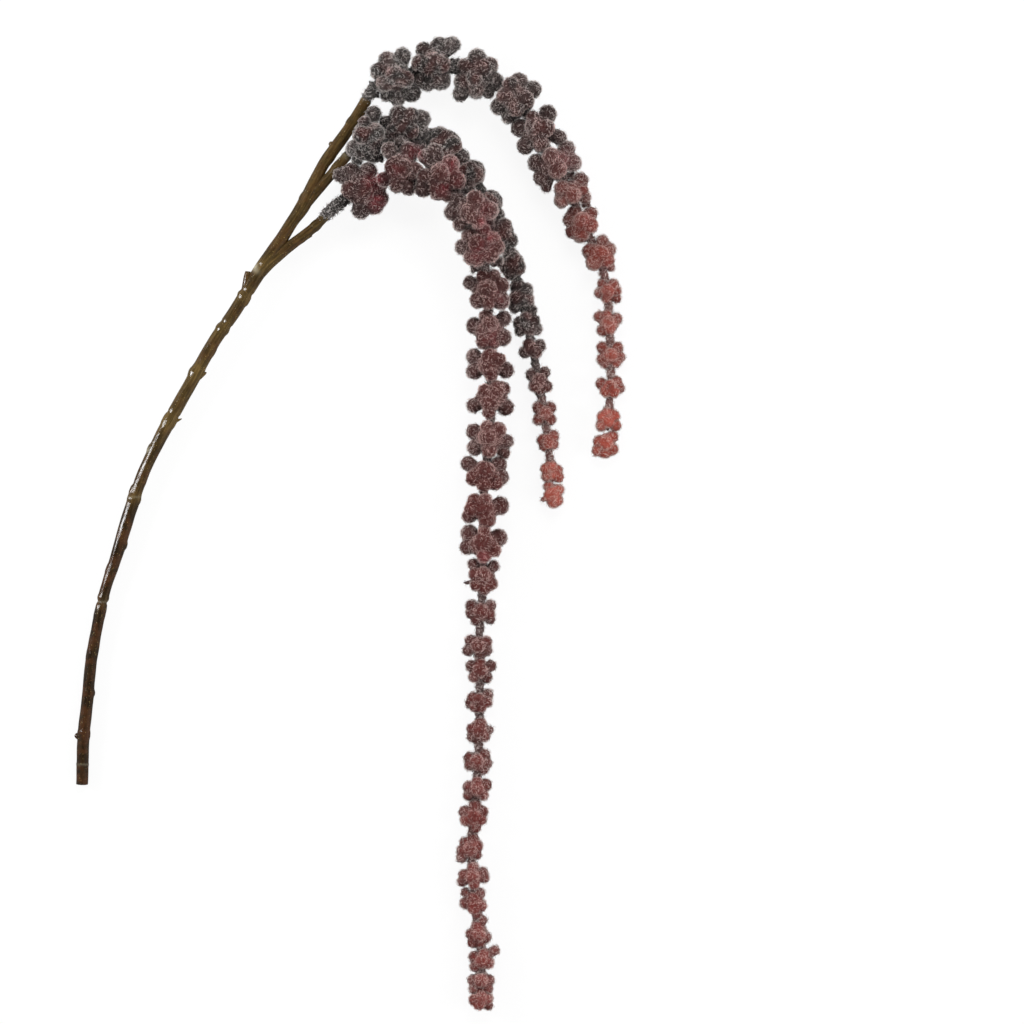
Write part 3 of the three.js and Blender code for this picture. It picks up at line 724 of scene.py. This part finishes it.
def make_floor_material():
    """Pale floor: plain white to the camera with a trace of its light, and dim where plastic mirrors it."""
    material, tree, shader = new_material("pale floor")
    mirrored = new_node(tree, "LightPath", "Is Glossy Ray")
    colour = mix_colour(tree, mirrored, FLOOR_WHITE, FLOOR_IN_GLOSS)
    set_up(shader, Base_Color=colour, Roughness=1.0, Specular_IOR_Level=0.0)
    share = arithmetic(tree, "MULTIPLY", new_node(tree, "LightPath", "Is Camera Ray"), FLOOR_GLOW)
    glow = new_node(tree, "Emission", Strength=1.0)
    surface = new_node(tree, "MixShader", in0=share, in1=shader.outputs[0], in2=glow)
    set_up(tree.nodes["Material Output"], Surface=surface)
    lay_out(tree)
    return material


# Stem


def bearing_gap(angle, bearing):
    """Degrees between an angle in radians and a bearing, the short way round."""
    return np.abs((np.degrees(angle) - bearing + 180) % 360 - 180)


def stem_tube(route, marks, chamfer, seed):
    """A branch swept along its route: point = centre + radius(s, a) (side cos a + up sin a).

    radius(s, a) is the route's own, plus a hump or groove with steep sides for each mark in s, and a
    Gaussian one in a where it isn't all round, plus low waves sin(k s + m a + phase) that keep it from
    being perfectly round. Both ends are chamfered.
    """
    rng = np.random.default_rng(seed)
    path, run = smooth_path(route, STEM_STEP)
    angle = ring_angles(STEM_SIDES)
    radius = np.repeat(path[:, 3:4], STEM_SIDES, axis=1)
    height = PICTURE_Y - path[:, 1] / PIXEL
    for level, bearing, stand, length, spread in marks:
        hump = stand * np.exp(-((((height - level) * PIXEL) / length) ** 4))[:, None]
        if bearing is not None:
            hump = hump * bell(bearing_gap(angle, bearing), spread)
        radius = radius + hump
    slope, turns, phase = rng.uniform(STEM_WAVE_FROM, STEM_WAVE_TO, (STEM_WAVES, 3)).T
    swell = np.sin(slope * run[:, None, None] + np.round(turns) * angle[:, None] + phase)
    radius = radius + STEM_WAVE * swell.sum(axis=-1)
    rows = np.clip(np.arange(-2, len(path) + 2), 0, len(path) - 1)
    scale, shift = np.ones(len(rows)), np.zeros(len(rows))
    scale[[0, 1, -2, -1]] = CHAMFER_SCALES
    shift[[0, 1, -2, -1]] = np.array(CHAMFER_SHIFTS) * chamfer
    axes = [axis[rows] for axis in path_frame(path)]
    centre = path[rows, :3] + shift[:, None] * axes[0]
    corners = swept(centre, axes, radius[rows] * scale[:, None])
    around = GRAIN_RADIUS * np.cos(angle), GRAIN_RADIUS * np.sin(angle)
    grain = np.stack(np.broadcast_arrays(run[rows][:, None], *around), axis=-1)
    grain = np.concatenate([grain[:1, 0], grain.reshape(-1, 3), grain[-1:, 0]]) + TUBE_SHIFT * seed
    return corners, closed_skin(len(rows), STEM_SIDES), (len(rows), STEM_SIDES), grain * MM


def stem_spur(start, end, wide, narrow, rounding, seed):
    """A spur: a cone with a rounded end, radius(s) = (wide + (narrow - wide) s) sqrt(1 - k t^2).

    s goes from 0 to 1 along it, t from 0 to 1 over its end, and k is 0.35 + 0.6 rounding.
    """
    share = np.linspace(0, 1, SPUR_RINGS)
    tip = np.clip((share - (1 - SPUR_END)) / SPUR_END, 0, 1)
    radius = (wide + (narrow - wide) * share) * np.sqrt(1 - (0.35 + 0.6 * rounding) * tip**2)
    points = np.asarray(start) + share[:, None] * (np.asarray(end) - np.asarray(start))
    corners = swept(points, path_frame(points), np.repeat(radius[:, None], SPUR_SIDES, axis=1))
    grain = (corners + SPUR_SHIFT * seed) * MM
    return corners, closed_skin(SPUR_RINGS, SPUR_SIDES), (SPUR_RINGS, SPUR_SIDES), grain


def make_stem(material):
    """The stem: the main stem, two branches that start inside it and the spurs, as one piece of skins."""
    parts = [
        stem_tube(MAIN_STEM, STEM_MARKS, END_CHAMFER, 1),
        stem_tube(MIDDLE_BRANCH, MIDDLE_MARKS, BRANCH_CHAMFER, 2),
        stem_tube(LOWER_BRANCH, LOWER_MARKS, BRANCH_CHAMFER, 3),
    ]
    parts += [stem_spur(*spur, seed) for seed, spur in enumerate(STEM_SPURS)]
    corners, triangles = joined(parts)
    grain = np.concatenate([part[3] for part in parts])
    layout = np.concatenate([skin_layout(*part[2], box) for part, box in zip(parts, STEM_LAYOUT)])
    level = PICTURE_Y - corners[:, 1] / PIXEL
    olive = np.interp(level, *OLIVE_RUN)
    olive = olive + NODE_OLIVE * sum(bell(level - node, NODE_REACH) for node in STEM_NODES)
    tips = np.array(BRANCH_TIPS)
    glue = TIP_GLUE * sum(np.exp(-((corners - tip) ** 2).sum(axis=1) / TIP_AREA) for tip in tips)
    glue = glue + LINE_GLUE * sum(bell(level - line, 1.0) for line in RING_LINES)
    for x, y, z, reach, strength in PALE_SCARS:
        gap = corners - picture_point(x, y, z)
        glue = glue + strength * np.exp(-(gap**2).sum(axis=1) / reach**2)
    values = {"grain": grain, "olive": np.clip(olive, 0, 1), "glue": np.clip(glue, 0, MOST_GLUE)}
    piece = make_piece("stem_moulding", corners, triangles, material, layout, values)
    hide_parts("stem")
    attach(piece, "root")


# Flock. A fibre is two slim wedges in a row. A wedge has an edge across at both ends, and these are square
# to each other.
WEDGES = 2
WEDGE_CORNERS = 4
WEDGE_FACES = np.array([[0, 2, 1], [0, 1, 3], [0, 3, 2], [1, 2, 3]])
WEDGE_PLACES = np.array([[0.05, 0.05], [0.5, 0.05], [0.05, 0.5], [0.95, 0.95]])  # in its cell of the layout


def triangle_facts(corners, triangles):
    """Area and outward normal of each triangle, from the cross product of two of its edges."""
    a, b, c = (corners[triangles[:, i]] for i in range(3))
    cross = np.cross(b - a, c - a)
    size = np.linalg.norm(cross, axis=1)
    return size / 2, cross / np.maximum(size, 1e-12)[:, None]


def slants(limits, count, rng):
    return np.radians(rng.uniform(*limits, (count, 1)))


def flock_fibres(corners, triangles, frost_and_rim_light, count, rng):
    """Fibres on a skin: a closed wedge from the root to the knee, and another from there to the tip.

    knee = root + p d, tip = knee + q e. d leans away from the skin's normal n, and e is d turned round the
    normal and laid back towards the skin. The edges at root and tip run along b + n, those at the knee
    along b - n, where b lies on the skin across the fibre. Roots are spread evenly by area. A light fibre
    stands out more than a dark one, and a fibre that would go under the floor is turned up. Two corners
    change places where a wedge would be inside out.
    """
    area, normal = triangle_facts(corners, triangles)
    pick = np.minimum(np.searchsorted(np.cumsum(area) / area.sum(), rng.random(count)), len(area) - 1)
    u, v = rng.random((2, count, 1))
    flip = u + v > 1
    u, v = np.where(flip, 1 - u, u), np.where(flip, 1 - v, v)
    a, b, c = (corners[triangles[pick, i]] for i in range(3))
    outward = normal[pick]
    root = a + u * (b - a) + v * (c - a) - FIBRE_SUNK * outward
    root_frost_and_rim_light = frost_and_rim_light[triangles[pick, 0]]
    light = rng.random(count) < LIGHT_SHARE[0] + (LIGHT_SHARE[1] - LIGHT_SHARE[0]) * root_frost_and_rim_light
    sideways = rng.normal(size=(count, 3))
    sideways = unit(sideways - (sideways * outward).sum(axis=1, keepdims=True) * outward)
    square = np.cross(outward, sideways)
    lean = np.where(light[:, None], slants(LIGHT_LEAN, count, rng), slants(DARK_LEAN, count, rng))
    bend = slants(KNEE_BEND, count, rng) * rng.choice([-1, 1], (count, 1))
    lift = slants(TIP_LIFT, count, rng)
    first = outward * np.cos(lean) + sideways * np.sin(lean)
    turned = sideways * np.cos(bend) + square * np.sin(bend)
    second = outward * np.sin(lift) + turned * np.cos(lift)
    for run in (first, second):
        under = root[:, 2] + FIBRE_RUN[1] * run[:, 2] < FIBRE_WIDTH
        run[under, 2] = np.abs(run[under, 2])
    length = rng.uniform(*FIBRE_RUN, (2, count, 1))
    knee = root + length[0] * first
    tip = knee + length[1] * second
    across = unit(np.cross(outward, first + second))
    rise = (across + outward) * FIBRE_WIDTH / math.sqrt(8)
    fall = (across - outward) * FIBRE_WIDTH / math.sqrt(8)
    ends = ((root, rise), (knee, fall), (knee, fall), (tip, rise))
    fibres = [point + sign * edge for point, edge in ends for sign in (-1, 1)]
    wedges = np.stack(fibres, axis=1).reshape(-1, WEDGE_CORNERS, 3)
    wedges[..., 2] = np.maximum(wedges[..., 2], 0.0)
    a, b, c, d = wedges.transpose(1, 0, 2)
    inside_out = ((b - a) * np.cross(c - a, d - a)).sum(axis=1) < 0
    wedges[inside_out, :2] = wedges[inside_out][:, 1::-1]
    return wedges, root, light, root_frost_and_rim_light


def wedge_layout(count, box):
    """Flat places for the wedges' triangle corners: each wedge has a cell of its own, in rows."""
    x0, y0, x1, y1 = box
    columns = int(math.ceil(math.sqrt(count * (x1 - x0) / (y1 - y0))))
    rows = int(math.ceil(count / columns))
    number = np.arange(count)
    size = np.array([(x1 - x0) / columns, (y1 - y0) / rows])
    corner = np.array([x0, y0]) + np.stack([number % columns, number // columns], axis=-1) * size
    places = corner[:, None] + WEDGE_PLACES * size
    return places[:, WEDGE_FACES.ravel()].reshape(-1, 2)


def colour_mix(shares, which):
    """Weighted mean of the four flock colours, for the ground (0) or the strands (1)."""
    palette = np.array([colour[which] for colour in (CHARCOAL, BURGUNDY, CORAL, DUSTY_ROSE)])
    return shares @ palette / shares.sum(axis=1, keepdims=True)


def ripple(points, length, rng):
    """Smooth noise from 0 to 1: the mean of plane waves about length millimetres long, each its own way."""
    waves = unit(rng.normal(size=(RIPPLE_WAVES, 3))) * rng.uniform(0.7, 1.4, (RIPPLE_WAVES, 1))
    waves = waves * 2 * math.pi / length
    phase = rng.uniform(0, 2 * math.pi, RIPPLE_WAVES)
    total = np.sin(points @ waves.T + phase).sum(axis=1)
    return np.clip(0.5 + 0.55 * total / math.sqrt(RIPPLE_WAVES), 0, 1)


def patches_at(points, patches):
    """Sum of soft round patches, each strength exp(-(distance / radius)^2), fading towards the floor."""
    total = np.zeros(len(points))
    for x, y, radius, strength in patches:
        middle = np.stack(to_model(x, y, points[:, 2]), axis=-1)
        gap = ((points[:, :2] - middle) ** 2).sum(axis=1)
        total += strength * np.exp(-gap / (radius * PIXEL) ** 2)
    return total * np.clip((points[:, 2] - PATCH_FLOOR) / PATCH_FADE, 0, 1)


def flock_colours(points, number, heart, tassel, rng):
    """Ground and strand colours at points of a floret: its tassel's colour there, under the pink patches.

    Charcoal turns to burgundy towards the heart of a floret, and the other colours to charcoal at its edge.
    """
    keys = np.array(TASSEL_COLOURS[tassel])
    shares = np.stack([np.interp(number, keys[:, 0], keys[:, i]) for i in range(1, 5)], axis=-1)
    moved = shares[:, 0] * HEART_SHARE * heart * ripple(points, HEART_RIPPLE, rng)
    shares[:, 0] -= moved
    shares[:, 1] += moved
    shares[:, 1:] *= 1 - RIM_SHARE * np.clip(1 - heart[:, None] / RIM_REACH, 0, 1)
    shares[:, 0] = 1 - shares[:, 1:].sum(axis=1)
    pink = patches_at(points, PINK_PATCHES)
    pink = pink * (PINK_SHARE[0] + PINK_SHARE[1] * ripple(points, PINK_RIPPLE, rng))
    pink = (np.clip(pink, 0, 1) * rng.uniform(*PINK_GRAIN, len(points)))[:, None]
    return [colour_mix(shares, which) * (1 - pink) + np.array(PINK[which]) * pink for which in (0, 1)]


def make_flocked(name, skins, fibre_share, tassel, number_at, heart_at, rng, material, node):
    """A flocked piece: closed skins with fibres on them, and its colours, tones and flat layout.

    A skin is its corners, its triangles, its rings and sides, and its frost, which raises the share of
    light fibres. The frost is partly the flock's own tone and partly painted rim light. number_at and
    heart_at give the place in the tassel's colours and how near the heart is.
    """
    corners, triangles = joined(skins)
    room = SKIN_ROOM / len(skins)
    layout = [
        skin_layout(*skin[2], (SKIN_EDGE, room * i + SKIN_GAP, 1 - SKIN_EDGE, room * (i + 1) - SKIN_GAP))
        for i, skin in enumerate(skins)
    ]
    frost_and_rim_light = np.concatenate([skin[3] for skin in skins]) + patches_at(corners, FROST_AND_RIM_LIGHT_PATCHES)
    frost_and_rim_light = np.clip(frost_and_rim_light, 0, 1)
    area = sum(triangle_facts(*skin[:2])[0].sum() for skin in skins)
    count = int(area * FIBRES_PER_AREA * fibre_share)
    wedges, roots, light, root_frost_and_rim_light = flock_fibres(corners, triangles, frost_and_rim_light, count, rng)
    tone = np.where(light, rng.uniform(*LIGHT_TONE, count), rng.uniform(*DARK_TONE, count))
    points = np.concatenate([corners, roots])
    ground, strand = flock_colours(points, number_at(points), heart_at(points), tassel, rng)
    # Painted light in part: the ground lightens towards the strand colour where the frost, painted rim
    # light included, is high
    ground = ground + HAZE_AND_RIM_LIGHT * np.concatenate([frost_and_rim_light, root_frost_and_rim_light])[:, None] ** 2 * (strand - ground)
    tone = np.concatenate([np.full(len(corners), SKIN_TONE), tone])
    repeats = np.concatenate([np.ones(len(corners), int), np.full(count, WEDGES * WEDGE_CORNERS)])
    values = {"ground": ground, "strand": strand, "tone": tone}
    faces = WEDGE_CORNERS * np.arange(WEDGES * count)[:, None, None] + WEDGE_FACES + len(corners)
    piece = make_piece(
        name,
        np.concatenate([corners, wedges.reshape(-1, 3)]),
        np.concatenate([triangles, faces.reshape(-1, 3)]),
        material,
        np.concatenate([*layout, wedge_layout(WEDGES * count, FIBRE_BOX)]),
        {key: np.repeat(numbers, repeats, axis=0) for key, numbers in values.items()},
    )
    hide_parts(node)
    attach(piece, "root")


# Florets


def node_points(name):
    """The corners of a CAD node, in millimetres."""
    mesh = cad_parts[name].data
    points = np.empty(3 * len(mesh.vertices), np.float32)
    mesh.vertices.foreach_get("co", points)
    return points.reshape(-1, 3).astype(float) / MM


def floret_skin(centre, axes, across, half, lobes, fineness):
    """A lobed skin, star-shaped about its centre: r(d) is a smooth maximum of where a ray d leaves a lobe.

    A ray leaves a lobe (c, p) at d.c + sqrt(p^2 - c.c + (d.c)^2). The smooth maximum is the 16-norm of all
    of them and of a small ellipsoid, the heart, that fills the gaps. d turns round the core by rings from
    one end to the other. The frost grows from the top of a lobe to its rim. This is painted rim light: more
    light fibres where the lobe faces sideways.
    """
    rings, sides = fineness
    polar = (math.pi * (np.arange(rings) + 1) / (rings + 1))[:, None]
    angle = ring_angles(sides)
    ray = [-np.cos(polar), np.sin(polar) * np.cos(angle), np.sin(polar) * np.sin(angle)]
    ray = np.stack(np.broadcast_arrays(*ray), axis=-1).reshape(-1, 3)
    ray = np.concatenate([[[-1.0, 0, 0]], ray, [[1.0, 0, 0]]])
    ends = (ray[:, 0] / (FLORET_HEART * half)) ** 2
    heart = 1 / np.sqrt(ends + (ray[:, 1:] ** 2).sum(axis=1) / (FLORET_HEART * across) ** 2)
    reach = ray @ lobes[:, :3].T
    inside = lobes[:, 3] ** 2 - (lobes[:, :3] ** 2).sum(axis=1) + reach**2
    leave = np.where((inside > 0) & (reach > 0), reach + np.sqrt(np.maximum(inside, 0)), 0)
    radius = ((leave**LOBE_NORM).sum(axis=1) + heart**LOBE_NORM) ** (1 / LOBE_NORM)
    corners = centre + (radius[:, None] * ray) @ axes
    corners[:, 2] = np.maximum(corners[:, 2], 0.0)
    nearest = lobes[leave.argmax(axis=1)]
    # Painted rim light: the more sideways the lobe's surface faces, the more frost and so the more light
    # fibres
    level = np.abs((unit(radius[:, None] * ray - nearest[:, :3]) @ axes)[:, 2])
    frost_and_rim_light = np.clip(nearest[:, 4] + PAINTED_RIM_LIGHT * (1 - np.minimum(level, 1)) ** PAINTED_RIM_LIGHT_POWER, 0, 1)
    frost_and_rim_light = np.where(leave.max(axis=1) > heart, frost_and_rim_light, NOTCH_FROST)
    return corners, closed_skin(rings, sides), fineness, frost_and_rim_light


def seen_lobes(marks, centre, axes, outline, rng):
    """Lobes placed by the picture, as (along, side, up, radius, frost).

    A lobe at distance g from the floret's middle stands sqrt(s^2 - g^2) above it, s being the radius of the
    floret's shell, and it has a twin below. The second pass takes the lobe's own height into account.
    """
    marks = np.array(marks, float)
    radius = marks[:, 2] * PIXEL - FLOCK_DEPTH
    shell = outline - radius - FLOCK_DEPTH
    rise = np.zeros(len(marks))
    for _ in range(2):
        gap = np.stack(to_model(marks[:, 0], marks[:, 1], centre[2] + rise), axis=-1) - centre[:2]
        rise = np.sqrt(np.maximum(shell**2 - (gap**2).sum(axis=1), 0))
    frost_and_rim_light = rng.uniform(*LOBE_FROST, len(marks))
    twins = [np.column_stack([gap, height]) @ axes.T for height in (rise, -TWIN_DEPTH * rise)]
    return np.concatenate([np.column_stack([twin, radius, frost_and_rim_light]) for twin in twins])


def tuft_lobes(size, rng):
    """Lobes of a tuft: two staggered rings round its middle, each lobe a little out of place."""
    count = 2 * TUFT_LOBES
    radius = TUFT_LOBE_SIZE * size * rng.uniform(0.88, 1.12, count)
    ring = np.repeat([-1, 1], TUFT_LOBES)
    angle = 2 * math.pi * (np.tile(np.arange(TUFT_LOBES), 2) + 0.25 * ring) / TUFT_LOBES
    angle = angle + rng.uniform(0, 2 * math.pi)
    angle = angle + rng.normal(0, 0.1, count)
    along = ring * (size - radius) * rng.uniform(0.85, 1.0, count)
    out = size - radius - 0.06 * size * rng.random(count)
    frost_and_rim_light = rng.uniform(*LOBE_FROST, count)
    return np.stack([along, out * np.cos(angle), out * np.sin(angle), radius, frost_and_rim_light], axis=-1)


def make_floret(tassel, index, node, is_tip, centre, axes, material):
    """A floret, or the longer tip piece of two skins. Its place in the tassel's colours grows along it."""
    rng = np.random.default_rng([SEED, len(tassel), index])
    local = (node_points(node) - centre) @ axes.T
    outline = np.linalg.norm(local[:, 1:], axis=1).max()
    across = outline - FLOCK_DEPTH
    half = np.abs(local[:, 0]).max() - FLOCK_DEPTH
    parts = [(centre, half)]
    if is_tip:
        parts = [(centre + shift * half * axes[0], TIP_HALF * half) for shift in TIP_HALVES]
    fineness = LARGE_SKIN if across >= LARGE else SMALL_SKIN
    skins = []
    for (middle, length), marks in zip(parts, SEEN_LOBES[tassel][index:]):
        lobes = seen_lobes(marks, middle, axes, outline, rng)
        skins.append(floret_skin(middle, axes, across, length, lobes, fineness))

    def number_at(points):
        return index + 1 + (points - centre) @ (axes[0] / (2 * half))

    def heart_at(points):
        return np.clip(np.abs(points[:, 2] - centre[2]) / across, 0, 1)

    name = f"{tassel}_flocked_floret_{index + 1:02d}"
    make_flocked(name, skins, 1.0, tassel, number_at, heart_at, rng, material, node)


def make_core(tassel, neck, centres, material):
    """The core of a tassel: a tube along its route, with a bead of flock between each two florets."""
    woven = np.empty((2 * len(centres) - 1, 4))
    woven[0::2, :3] = centres
    woven[1::2, :3] = (centres[1:] + centres[:-1]) / 2
    woven[0::2, 3], woven[1::2, 3] = CORE_RADIUS, BEAD_RADIUS
    path, run = smooth_path(np.concatenate([neck, woven]), CORE_STEP)
    turn = CORE_RIPPLE_RUN * run[:, None] + CORE_RIPPLE_TURNS * ring_angles(CORE_SIDES)
    radius = path[:, 3:4] * (1 + CORE_RIPPLE * np.sin(turn))
    radius[[0, -1]] *= CORE_END
    corners = swept(path[:, :3], path_frame(path), radius)
    fineness = (len(path), CORE_SIDES)
    skins = [(corners, closed_skin(*fineness), fineness, np.full(len(corners), CORE_FROST))]
    rng = np.random.default_rng([SEED, CORE_SEED, len(tassel)])
    for x, y, z, reach in TUFTS[tassel]:
        size = reach * PIXEL
        lobes = tuft_lobes(size, rng)
        skins.append(floret_skin(picture_point(x, y, z), np.eye(3), size, size, lobes, TUFT_SKIN))
    stops = np.concatenate([neck[-1:, :3], centres])

    def number_at(points):
        return ((points[:, None] - stops) ** 2).sum(axis=-1).argmin(axis=1).astype(float)

    def heart_at(points):
        return np.full(len(points), CORE_HEART)

    name = f"{tassel}_flocked_core"
    node = f"{tassel}_core"
    make_flocked(name, skins, CORE_FIBRES, tassel, number_at, heart_at, rng, material, node)


def make_tassel(tassel, flock, core_flock):
    """The florets of a tassel, each lying along the line of the tassel, and the core through them."""
    names = sorted(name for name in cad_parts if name.startswith(tassel + "_floret"))
    centres = np.array([node_points(name).mean(axis=0) for name in names])
    neck = np.array(CORE_NECKS[tassel])
    axes = np.stack(path_frame(np.concatenate([neck[-1:, :3], centres])), axis=1)[1:]
    for index, name in enumerate(names):
        is_tip = index == len(names) - 1
        make_floret(tassel, index, name, is_tip, centres[index], axes[index], flock)
    make_core(tassel, neck, centres, core_flock)


# Stage


def make_stage():
    mesh = bpy.data.meshes.new("floor")
    corners = [(x * FLOOR_SIZE, y * FLOOR_SIZE, 0) for x, y in ((-1, -1), (1, -1), (1, 1), (-1, 1))]
    mesh.from_pydata(corners, [], [(0, 1, 2, 3)])
    mesh.materials.append(make_floor_material())
    floor = add_object("floor", mesh)
    floor.location.z = -FLOOR_DROP


def add_light(name, place, target, size, power, mirrored):
    light = bpy.data.lights.new(name, "AREA")
    light.shape = "RECTANGLE"
    light.size, light.size_y = size
    light.energy = power
    lamp = add_object(name, light)
    lamp.location = place
    lamp.visible_glossy = mirrored
    lamp.rotation_euler = (Vector(target) - Vector(place)).to_track_quat("-Z", "Y").to_euler()


def make_studio():
    """Soft light from all sides, less from straight above, where the camera is, and three softboxes.

    Glossy plastic mirrors the left softbox but not the others, and little of the soft light, as if dark
    flags stood round it, so that its streaks stand out.
    """
    scene = bpy.context.scene
    world = bpy.data.worlds.new("studio")
    world.use_nodes = True
    tree = world.node_tree
    upward = new_node(tree, "SeparateXYZ", "Z", in0=new_node(tree, "TexCoord", "Generated"))
    fade = {"From_Min": SKY_FADE[0], "From_Max": SKY_FADE[1], "To_Min": SKY[0], "To_Max": SKY[1]}
    mirrored = new_node(tree, "LightPath", "Is Glossy Ray")
    flags = new_node(tree, "MapRange", Value=mirrored, To_Min=1.0, To_Max=SKY_IN_GLOSS)
    strength = arithmetic(tree, "MULTIPLY", smooth_step(tree, upward, **fade), flags)
    set_up(tree.nodes["Background"], Color=(1.0, 1.0, 1.0), Strength=strength)
    lay_out(tree)
    scene.world = world
    for light in LIGHTS:
        add_light(*light)
    scene.view_settings.view_transform = "Standard"
    scene.view_settings.look = "None"


def make_camera():
    """A long lens straight above the picture's middle, as far as takes in its width at floret height."""
    camera = bpy.data.cameras.new("camera")
    camera.sensor_width = SENSOR
    camera.lens = LENS
    camera.clip_end = 20.0
    x, y = to_model(PICTURE_MIDDLE, PICTURE_MIDDLE)
    eye = add_object("camera", camera)
    eye.location = (float(x) * MM, float(y) * MM, EYE_HEIGHT * MM)
    bpy.context.scene.camera = eye


tangle = make_strands()
plain_flock = make_flock("flock", tangle, WEB_WIDTH)
core_flock = make_flock("core flock", tangle, CORE_WEB_WIDTH)
make_stem(make_stem_plastic(make_mottle()))
for tassel_name in ("upper", "middle", "long"):
    make_tassel(tassel_name, plain_flock, core_flock)
make_stage()
make_studio()
make_camera()
